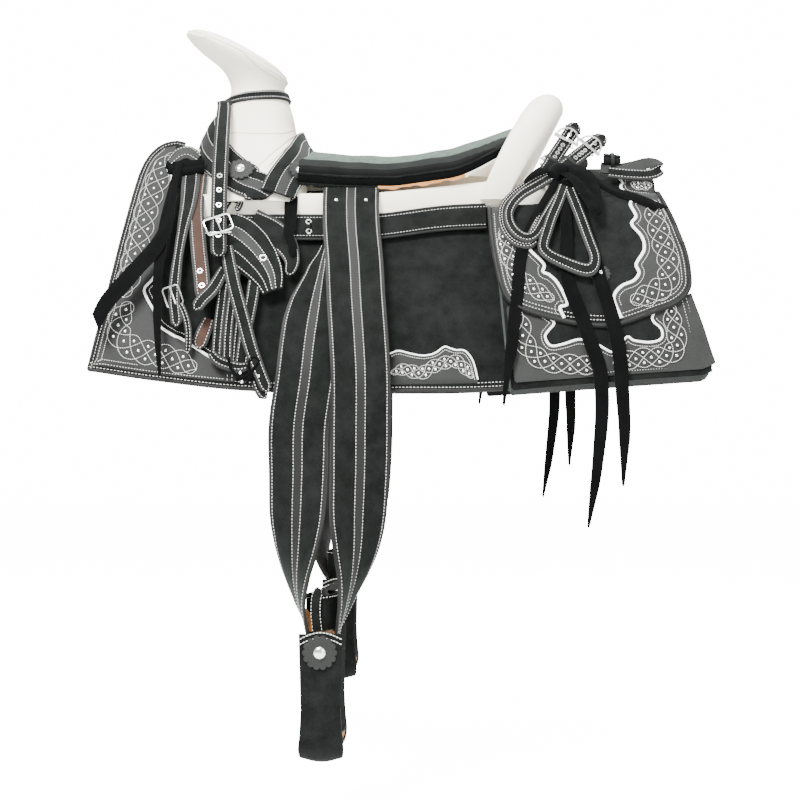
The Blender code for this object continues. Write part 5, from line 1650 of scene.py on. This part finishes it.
    def build_sleeve(self) -> None:
        """Build the dark sleeve between the twisted legs, its upright loop and the tan tongue beside it."""
        s, label = self.side.value, self.side.label
        work = Work("leather_sleeve_" + label, "stirrup_leathers_" + label)
        turn = full_turn(48)[:, None]
        c, d, z = np.cos(turn), np.sin(turn), np.array([[-0.556, -0.534, -0.512]])
        inner, outer = (np.stack([self.x - 0.001 + (0.0185 + grow) * c + 0 * z,
                                  s * self.y + (0.026 + grow) * d + 0 * z, z + 0.0015 * c], -1)
                        for grow in (0, 0.0022))
        work.add(SUEDE, slab(inner, outer, closed=True))
        work.add(THREAD, stitches(outer[:, 2] + [0, 0, -0.0028], np.hstack([c, d, 0 * turn]), 0.0042, 0.0012))
        loop = mm([(-103, 30, -556), (-105.2, 30, -534), (-104, 29.5, -513), (-99, 28, -506.5),
                   (-93.5, 26.5, -515)])
        tongue = mm([(-112.5, 21, -558), (-115, 20, -542), (-119, 19, -529)])
        for path, width, looks in ((loop, 0.0125, {"layout": Layout.STRIPED, "base": EDGE, "stripes": 1,
                                                   "round_ends": False}),
                                   (tongue, mm([13.5, 12.5, 4]), {"layout": Layout.PLAIN, "base": NATURAL})):
            points = np.column_stack([path[:, 0], s * (self.y + path[:, 1]), path[:, 2]])
            surface = InSpace(points, [(1, 0, 0)] * len(points), 8, (0, s, 0))
            Strap(surface, width, 0.002, **looks).dress(work)
        work.make()

    def build_ring(self) -> None:
        """Build the wooden U, its suede cover with arched ends, its roller and its flowers."""
        body, label = "stirrup_body_" + self.side.label, self.side.label
        ring = self.shell(0.0, self.wood, self.ear, 0.0045)
        make_piece("stirrup_wood_" + label, ring, WOOD, body, ("stirrup_" + label,))
        work = Work("stirrup_cover_suede_" + label, body)
        start = self.wood + 0.0003
        work.add(SUEDE, self.shell(start, start + 0.0025, self.ear + 0.0025, 0.0, 0.009))
        work.add(EDGE, self.shell(-0.0016, -0.0002, self.ear - 0.002, 0.001))
        arc = np.linspace(-1, 1, 25)
        for sign in (-1.0, 1.0):
            out = np.array([0.0, sign, 0.0])
            face = self.side.value * self.y + sign * (self.inside / 2 + start + 0.0025)
            for lift in (0.0014, -0.005):
                path = np.stack([self.x + arc * 0.0262, np.full(25, face + sign * 0.0005),
                                 self.ear + 0.0085 * np.cos(arc * math.pi / 2) - 0.0055 + lift], 1)
                work.add(THREAD, stitches(path, np.tile(out, (25, 1)), 0.0042, 0.0014, 0.85))
            flower(np.array([self.x - 0.001, face + sign * 0.0003, self.ear - 0.02]), out, 0.0215, work)
        work.make("stirrup_cover_" + label, "stirrup_rosette_" + label)
        turn = full_turn(40)
        rings = np.stack([np.stack([self.x + r * np.cos(turn), np.full(40, self.side.value * self.y + y),
                                    self.roller_z + r * np.sin(turn)], 1)
                          for y, r in ((-0.0585, 0.013), (-0.0575, 0.0143), (0.0575, 0.0143), (0.0585, 0.013))])
        make_piece("roller_" + label, loft(rings), WOOD, body, ("stirrup_roller_" + label,))

    def build(self) -> None:
        """Build the leathers and the ring."""
        self.build_leathers()
        self.build_sleeve()
        self.build_ring()


def buckle(centre: np.ndarray, along: np.ndarray, out: np.ndarray, long_half: float, wide_half: float,
           wire: float, work: Work) -> None:
    """Lay a rectangular buckle with its tongue and keeper on a strap.

    Args:
        centre: Middle of the frame.
        along: Direction along the strap.
        out: Direction away from its face.
        long_half: Half length along the strap.
        wide_half: Half width across it.
        wire: Radius of the wire.
        work: Collection to add to.
    """
    along, out = unit(along), unit(out)
    across = np.cross(along, out)
    corner = min(long_half, wide_half) * 0.35
    ring = []
    for a, b, start in ((1, 1, 0), (-1, 1, 90), (-1, -1, 180), (1, -1, 270)):
        for t in np.radians(np.linspace(start, start + 90, 5)):
            ring.append(((wide_half - corner) * a + corner * math.cos(t),
                         (long_half - corner) * b + corner * math.sin(t)))
    ring = np.array(ring)
    path = centre + across * ring[:, :1] + along * ring[:, 1:] + out * wire
    work.add(STEEL, tube(path, wire, 8, closed=True))
    tongue = np.array([centre - along * long_half + out * wire, centre + out * 2.4 * wire,
                       centre + along * long_half + out * 2.2 * wire])
    work.add(STEEL, tube(curve_through(tongue, 5), wire * 0.75, 6))


class HangingGear:
    """Everything that hangs from the fork: horn strap, front straps and latigo."""

    def __init__(self, tree: Tree) -> None:
        """Keep the tree that the horn strap's loop lies on."""
        self.tree = tree

    def build_horn_strap(self) -> None:
        """Build the strap that hangs from the neck loop on the near side, with buckle and eyelets."""
        route = mm([(50.5, 151.5), (60, 145.5), (82, 132), (110, 108), (143, 70), (176, 22), (199, -25),
                    (216, -58), (226.5, -81)])
        path = [(-0.25 + 0.0016 * i, -y, z) for i, (y, z) in enumerate(route)]
        surface = InSpace(path, [(-1, 0, 0)] * len(path), 8, (0, -1, 0))
        work = Work("horn_strap_dressed", "horn_strap_bundle")
        Strap(surface, mm([18.5, 19, 20, 21, 21.5, 21.5, 21.5, 21.5, 21.5]), border=0.0034,
              base=EDGE).dress(work)
        fold = mm([(-259, -50, 151.5), (-250, -50, 153.5), (-239, -49, 154.5)])
        work.add(EDGE, tube(fold, 0.0042, 12))
        s = arc_length(surface.line)
        where = np.array([0.576, 0.655, 0.734, 0.815, 0.893]) * s[-1]
        out = rows_at(where, s, surface.up)
        work.add(STEEL, eyelets(rows_at(where, s, surface.line) + out * 0.0035, out, 0.003, 0.0011))
        i = int(np.searchsorted(s, 0.83 * s[-1]))
        along = unit(surface.line[i + 1] - surface.line[i - 1])
        left, up = surface.left[i], surface.up[i]
        buckle(surface.line[i] + up * 0.0038, along - 0.34 * unit(left), up, 0.0125, 0.0175, 0.0014, work)
        share = np.linspace(-1, 1, 11)[:, None]
        keeper = surface.line[i + 3] + left * share * 0.0165 + up * (0.0064 - 0.003 * share ** 2)
        work.add(STEEL, tube(keeper - along * 0.002 * share ** 2, 0.0012))
        work.make("horn_strap", "horn_buckle")

    def build_front_straps(self, side: Side) -> None:
        """Build the folded straps at the skirt's front corner, their knot and ribbons."""
        label, n = side.label, FRONT_STRAP_N
        body, tie = "front_bundle_" + label, n + STRAP_THICK + 0.0004
        work = Work("front_strap_dressed_" + label, body)
        lay_strap(work, mm([(-285, 30), (-284.8, -20), (-288.5, -55), (-291.5, -90), (-293, -120),
                            (-293, -150), (-289.5, -172), (-287, -188)]),
                  n, side, mm([25, 25, 20.5, 14.5, 12.5, 15, 15, 15]), border=0.0036)
        lay_strap(work, mm([(-284, -160, 1), (-277, -174, 0), (-272.5, -190, -3), (-272, -206, -8),
                            (-273.5, -216, -13)]), n, side, 0.009, border=0.002)
        centre, out = FLANK.place(np.array([-0.294, -0.15]), n + 0.0042, side)
        buckle(centre, np.array([0.35, 0.0, -1.0]), out, 0.013, 0.0115, 0.0013, work)
        work.make("front_strap_" + label)
        work = Work("front_spare_strap_dressed_" + label)
        lay_strap(work, mm([(-274.5, 22), (-274, -30), (-266, -85), (-259, -125), (-255.5, -150)]),
                  n - 0.0036, side, mm([21, 20, 21, 21.5, 20.5]), inlay=BROWN, border=0.0034)
        work.add(STEEL, eyelets(*FLANK.place(mm([(-262, -116), (-258, -134)]), n, side), 0.0031, 0.0012))
        lay_strap(work, mm([(-248, -170), (-253, -184), (-258, -198), (-260, -208)]), LATIGO_N - 0.006, side,
                  mm([15, 19, 20, 19]), inlay=BROWN, border=0.0026)
        work.make("front_spare_strap_" + label)
        work = Work("front_tie_dressed_" + label, body)
        for path, width in ((mm([(-318, 36), (-300, 30), (-268, 33)]), 0.017),
                            (mm([(-316, 26), (-296, 22), (-268, 27)]), 0.012)):
            lay_strap(work, path, tie, side, width, 0.0045, Layout.PLAIN, base=RIBBON, bow=0.002,
                      round_ends=False)
        lay_strap(work, mm([(-316, 33, -2), (-304, 45, 1), (-290, 48, 1), (-276, 40, -2)]), tie, side,
                  mm([12, 19, 19, 13]), 0.006, step=0.003, border=0.003, inlay=CHARCOAL, bow=0.0015,
                  round_ends=False)
        work.make("front_tie_" + label)
        for i, (points, widths) in enumerate((
                (mm([(-301, 32), (-305.5, 6), (-306.5, -31), (-310.5, -64), (-324.5, -94), (-350, -126),
                     (-376.5, -157), (-390.5, -186)]),
                 mm([10, 10, 11, 18, 23, 23, 22, 18])),
                (mm([(-303, 22), (-313, -60), (-315.5, -120), (-312, -180), (-305, -249)]),
                 mm([12, 15, 12.5, 10.5, 4])))):
            path = [(*point, tie + 0.0052 - 0.003 * i) for point in points]
            Ribbon(path, widths).sew("front_tail_%d_%s" % (i + 1, label), body, side)

    def build_latigo(self, side: Side) -> None:
        """Build the wide folded band, its striped end and the long lace over it."""
        label, n = side.label, LATIGO_N
        body = "latigo_bundle_" + label
        work = Work("latigo_end_dressed_" + label, body)
        for path, rise, width in (
                (mm([(-229, -112), (-232, -150), (-234.5, -190), (-235.5, -222)]), 0.0, 0.0128),
                (mm([(-215, -112), (-219, -155), (-221.5, -195), (-221.5, -226)]), 0.0002, 0.0122),
                (mm([(-189, -112), (-193, -150), (-199, -190), (-203, -228)]), 0.0002, 0.0165),
                (mm([(-206, -150), (-209, -190), (-211, -226)]), -0.0032, 0.011)):
            lay_strap(work, path, n + 0.0036 + rise, side, width, STRAP_THICK - 0.0004, border=0.0024,
                      round_ends=False)
        lay_strap(work, mm([(-242.5, -216), (-233, -226), (-218, -232), (-204, -234.5), (-193, -232)]),
                  n + 0.0016, side, mm([10, 13, 13, 12, 9]), 0.0062, step=0.003, border=0.0024)
        work.make("latigo_end_" + label)
        work = Work("latigo_dressed_" + label, body)
        n += 2 * STRAP_THICK + 0.0012
        lay_strap(work, mm([(-200, -50), (-172, -60), (-152, -76), (-142.5, -98), (-146, -118)]),
                  n - 0.004, side, mm([50, 42, 34, 22, 12]), 0.0024, step=0.004, border=0.003)
        front = mm([(-233, -64), (-218, -70), (-200, -84), (-184, -102), (-172, -121), (-166, -139)])
        band = Strap(OnFlank(front, n, side, 0.003), mm([66, 66, 62, 54, 42, 26]), 0.0042, Layout.PLAIN,
                     round_ends=False, base=SUEDE, bow=0.003)
        band.dress(work)
        work.add(CHARCOAL, band.strip(0.002, 0.0042 + INLAY_THICK, -0.02, 0.36, 5))
        for share in (-0.9, -0.46, -0.02, 0.36, 0.9):
            path = band.surface.at(band.widths()[:, None] / 2 * share,
                                   0.0042 + INLAY_THICK - 0.003 * share ** 2)[:, 0]
            work.add(THREAD, stitches(path, band.surface.normals(), 0.0044, 0.0012))
        spot = mm([(-180, -98.5)])
        work.add(STEEL, eyelets(*FLANK.place(spot, n + 0.0052, side), 0.0042, 0.0013))
        work.make("latigo_" + label)
        work = Work("latigo_lace_dressed_" + label, body)
        rise = LATIGO_N + 4 * STRAP_THICK + 0.0024
        lay_strap(work, mm([(-229, -84, -3), (-221, -118, -1), (-208, -160, -2), (-194, -203, -4),
                            (-179, -242, -6), (-168, -265, -8)]),
                  rise, side, mm([16.5, 18, 18, 18, 17, 15]), border=0.0028)
        lay_strap(work, mm([(-230, -112, -6.2), (-242, -136, -4), (-255, -156, 4.8), (-264, -170, 4.4)]),
                  rise, side, mm([14, 16.5, 17.5, 16]), 0.0026, border=0.0028)
        lay_strap(work, mm([(-183, -250), (-179, -260), (-170, -271)]), rise - 0.012, side, 0.015, 0.0026,
                  border=0.0026)
        lace = curve_through(mm([(-219, -224), (-216, -237), (-206, -248), (-196, -248), (-186, -238),
                                 (-180, -228), (-188, -224), (-193, -233), (-190, -247), (-196, -258)]), 6)
        place, up = FLANK.place(lace, LATIGO_N + 0.0118, side)
        work.add(RIBBON, tube(place, 0.0021, flat=0.7, up=up))
        ends = mm([(-203.5, -244), (-201, -255), (-180, -248)])
        work.add(STEEL, studs(*FLANK.place(ends, LATIGO_N + 0.013, side), 0.0022, 0.0016))
        work.make("latigo_lace_" + label)

    def build(self) -> None:
        """Build the gear on both sides."""
        self.build_horn_strap()
        for side in Side:
            self.build_front_straps(side)
            self.build_latigo(side)


class RearGear:
    """Crupper straps, ribbons and short straps behind the cantle."""

    short_straps = {"front": mm([(245, 104, 114.5), (226.5, 116, 86.2), (212.8, 127, 65.6), (199, 143, 44)]),
                    "rear": mm([(283, 106, 96.5), (261.7, 118, 79.8), (246.8, 128, 68), (220.4, 145, 46)])}

    def build_strings(self, side: Side) -> None:
        """Build the looped straps and the suede ribbons with their bow."""
        label, n, t = side.label, STRINGS_N, STRAP_THICK
        body = "strings_" + label
        work = Work("crupper_dressed_" + label, body)
        outer = mm([(212, 6), (194, 4), (169, -10), (148, -26), (135.5, -43), (133.5, -64), (140, -80),
                    (152, -91), (168, -94), (178, -88)])
        inner = mm([(218, -6), (206, -2), (185, -13.5), (160, -29), (145.5, -48), (144, -64), (151, -77),
                    (163, -85), (176, -82), (189, -64), (204, -40), (221, -12)])
        twin = mm([(171, -79), (181, -60), (194, -38), (210, -12)])
        triangle = mm([(226, -22), (238, -62), (248, -96), (252.5, -114), (249, -126), (236, -128.5),
                       (205, -117.5), (190, -108), (186.5, -97), (196, -70), (209, -42), (219, -18)])
        for path, lift, width in ((outer, 0.0, 0.0085), (twin, 0.0, 0.0075), (inner, t + 0.0004, 0.0125),
                                  (triangle, 2 * t + 0.001, 0.014)):
            lay_strap(work, path, n + 0.0026 + lift, side, width, step=0.003, border=0.0024, round_ends=False,
                      bow=0.0006)
        work.make("crupper_straps_" + label)
        for i, (path, widths, rise) in enumerate((
                (mm([(214, -4), (186, -50), (160, -98), (150, -160), (141, -220), (130, -281)]),
                 mm([12, 16, 16.5, 16.5, 15, 3]), 0.0003),
                (mm([(220, -10), (219, -70), (216, -132), (231, -180), (250, -235), (254, -270), (252, -311),
                     (245, -368), (235.5, -428)]),
                 mm([11, 15, 18, 18.5, 18.5, 18, 16, 12, 3]), 0.0003),
                (mm([(226, -10), (244, -70), (256, -129), (268, -174), (277.5, -220), (279.5, -265),
                     (281.5, -311), (279, -376)]),
                 mm([11, 15, 17.5, 18.5, 18.5, 17.5, 14, 3]), 0.0018),
                (mm([(224, -2), (257, -5), (288, -18.5), (322, -31), (347, -43.5)]),
                 mm([10, 13, 14.5, 15, 15]), 0.0012))):
            points = [(*point, n + rise + max(0.0, 0.0085 * (1 - 2.2 * k / (len(path) - 1))))
                      for k, point in enumerate(path)]
            Ribbon(points, widths).sew("string_%d_%s" % (i + 1, label), body, side)
        bow = n + 3 * t + 0.0052
        loop = mm([(216, 0, 0), (236, 2, 1), (252, -10, 0), (259, -36, 0), (260, -58, 0), (258, -64, 3),
                   (255, -56, 6), (246, -36, 6), (233, -16, 5), (220, -4, 3)]) + [0, 0, bow]
        end = mm([(214, -2, 0), (205, 2, 1), (192, 1, 1), (176, -6, -1), (166, -13, -3)]) + [0, 0, bow]
        widths = mm([10, 19, 21, 19, 16, 13, 15, 16, 13, 9])
        Ribbon(loop, widths, 0.03, "folded").sew("bow_loop_" + label, body, side)
        Ribbon(end, mm([10, 12, 12, 10, 4]), held="folded").sew("bow_end_" + label, body, side)
        work = Work("bow_knot_" + label, body)
        lay_strap(work, mm([(204, -6), (212, 3), (224, 3)]), bow - 0.002, side, mm([15, 17, 16]), 0.0095,
                  Layout.PLAIN, 0.002, base=RIBBON, bow=0.004, round_ends=False)
        work.make("saddle_strings_" + label)

    def build_short_straps(self, side: Side) -> None:
        """Build the two buckled straps that stand up behind the cantle."""
        n, s = FRONT_STRAP_N + STRAP_THICK / 2, side.value
        for name, spots in self.short_straps.items():
            path = [(x, s * y, z) for x, y, z in spots]
            path += [FLANK.lay(np.array([spots[-1][0] - step, z]), n, side)
                     for step, z in ((0.009, 0.017), (0.014, 0.003))]
            path = np.array(path[::-1])
            across = np.cross(tangents(path), np.array([0.2, s, 0.45]))
            surface = InSpace(path, across, 10, (0, s, 0))
            work = Work("short_strap_%s_%s" % (name, side.label))
            Strap(surface, 0.0205, border=0.003).dress(work)
            length = arc_length(surface.line)

            def place(where: float, lift: float) -> tuple[np.ndarray, np.ndarray, np.ndarray, np.ndarray]:
                """Point at a share of the strap's length, with the directions along, across and away."""
                i = int(np.searchsorted(length, where * length[-1]))
                out = surface.up[i]
                return (surface.line[i] + out * lift, unit(surface.line[i + 1] - surface.line[i - 1]),
                        surface.left[i], out)

            rings = [place(where, 0.0036) for where in (0.47, 0.53, 0.59, 0.65, 0.82)]
            centres, _, _, normals = (np.array(column) for column in zip(*rings))
            work.add(STEEL, eyelets(centres, normals, 0.0023, 0.0009))
            lower, along, across, out = place(0.4, 0.0038)
            spread = np.linspace(-1, 1, 9)[:, None]
            for centre in (lower, place(0.9, 0.0038)[0]):
                keeper = centre + across * spread * 0.0112 - out * 0.003 * np.abs(spread) ** 4
                work.add(EDGE, tube(keeper, 0.0026, flat=0.45, up=np.tile(out, (9, 1))))
            centre, along, across, out = place(0.72, 0.0052)
            half = across * 0.018 + along * 0.002
            work.add(STEEL, tube(np.array([centre - half, centre, centre + half]), 0.0026, 10, flat=0.8,
                                 up=np.tile(out, (3, 1))))
            t = np.linspace(0, math.pi, 21)[:, None]
            arc = (centre + across * 0.0155 * np.cos(t) + along * 0.017 * np.sin(t)
                   + out * (0.0012 + 0.002 * np.sin(t)))
            work.add(STEEL, tube(arc, 0.0013))
            work.add(STEEL, studs((centre + across * 0.0125 - along * 0.0065)[None], out[None], 0.0022, 0.0016))
            tongue = np.array([centre + out * 0.001, centre + along * 0.008 + out * 0.0032,
                               centre + along * 0.0165 + out * 0.003])
            work.add(STEEL, tube(curve_through(tongue, 5), 0.001, 6))
            work.make("rear_strap_%s_%s" % (name, side.label))

    def build_spare_strap(self) -> None:
        """Build the rolled strap and the doubled strap that lie over the yoke on the near side."""
        work = Work("spare_strap_doubled")
        route = mm([(276, 35.5), (300, 33), (325, 38), (344, 42.5), (354.5, 38), (354, 29), (340, 23.5),
                    (315, 24), (286, 27)])
        path = FLANK.lay(route, 0.0285, Side.NEAR)
        surface = InSpace(path, [(0, 0.45, 0.9)] * len(path), 10, (0, 1, 0))
        Strap(surface, 0.017, 0.0026, border=0.0026, round_ends=False).dress(work)
        work.make()
        turn = np.linspace(0, 2 * math.pi * 2.4, 60)
        size = 0.0032 + 0.0021 * turn / (2 * math.pi)
        centre = FLANK.lay(np.array([0.2925, 0.044]), 0.03, Side.NEAR)
        coil = centre + np.stack([0.1 * size * np.cos(turn), size * np.cos(turn), size * np.sin(turn)], axis=1)
        surface = InSpace(coil, np.tile([1.0, 0.05, -0.12], (len(coil), 1)), 1, (0, 1, 0))
        work = Work("spare_strap_rolled")
        Strap(surface, 0.0235, 0.0012, Layout.PLAIN, base=SUEDE, round_ends=False).dress(work)
        band = full_turn(40)
        tie = centre + np.stack([0 * band, 0.0102 * np.cos(band), 0.0102 * np.sin(band)], axis=1)
        work.add(EDGE, tube(tie, 0.0026, closed=True, flat=0.5, up=tie - centre))
        work.make()

    def build(self) -> None:
        """Build the gear on both sides."""
        for side in Side:
            self.build_strings(side)
            self.build_short_straps(side)
        self.build_spare_strap()


class Studio:
    """Pale floor, soft light and the photograph's camera."""

    soft_light, backdrop = 1.05, 16.0
    floor_bounce, floor_glow = 0.55, 14.0
    floor_half, floor_z, white = 6, -0.8, (1.0, 1.0, 1.0, 1.0)
    aim = (0, 0, -0.15)
    lights = (("key", (-1.1, -2.0, 2.3), 1.2, 400.0), ("fill", (1.8, -2.0, 0.6), 1.8, 70.0),
              ("top", (0.2, 0.4, 2.2), 1.6, 100.0))

    @staticmethod
    def by_ray(tree: bpy.types.NodeTree, light: float, camera: float, socket: bpy.types.NodeSocket) -> None:
        """Feed a socket one value as light, and another where the camera sees it."""
        rays = tree.nodes.new("ShaderNodeLightPath")
        mix = set_inputs(tree.nodes.new("ShaderNodeMix"), {"A": light, "B": camera})
        tree.links.new(rays.outputs["Is Camera Ray"], mix.inputs["Factor"])
        tree.links.new(mix.outputs["Result"], socket)

    def build(self) -> None:
        """Set up floor, lights, world and camera."""
        world = bpy.context.scene.world = bpy.data.worlds.new("studio")
        world.use_nodes = True
        sky = set_inputs(world.node_tree.nodes["Background"], {"Color": self.white})
        self.by_ray(world.node_tree, self.soft_light, self.backdrop, sky.inputs["Strength"])
        mat = bpy.data.materials.new("studio white")
        mat.use_nodes = True
        shader = set_inputs(mat.node_tree.nodes["Principled BSDF"],
                            {"Base Color": (0.95, 0.95, 0.95, 1.0), "Roughness": 0.9,
                             "Emission Color": self.white})
        self.by_ray(mat.node_tree, self.floor_bounce, self.floor_glow, shader.inputs["Emission Strength"])
        far = self.floor_half
        mesh = bpy.data.meshes.new("floor")
        corners = ((-far, -far), (far, -far), (far, far), (-far, far))
        mesh.from_pydata([(x, y, self.floor_z) for x, y in corners], [], [(0, 1, 2, 3)])
        mesh.materials.append(mat)
        add_object("floor", mesh)
        for name, place, size, power in self.lights:
            light = bpy.data.lights.new(name, "AREA")
            light.energy, light.size = power, size
            obj = add_object(name, light)
            obj.location = place
            obj.rotation_euler = (Vector(self.aim) - Vector(place)).to_track_quat("-Z", "Y").to_euler()
        data = bpy.data.cameras.new("camera")
        data.lens, data.sensor_width = 72.93, 36.0
        camera = bpy.context.scene.camera = add_object("camera", data)
        camera.location = (0.0, -2.35, -0.268)
        camera.rotation_euler = (math.radians(90), 0, 0)


def main() -> None:
    """Build the saddle's looks, sub-assembly by sub-assembly."""
    logging.basicConfig(level=logging.INFO, format="%(message)s")
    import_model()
    Studio().build()
    tree = Tree()
    tree.build()
    ForkBands(tree).build()
    Seat().build()
    for side in Side:
        Skirts().build(side)
        Stirrup(side).build()
    SaddleBag().build()
    HangingGear(tree).build()
    RearGear().build()


if __name__ == "__main__":
    main()
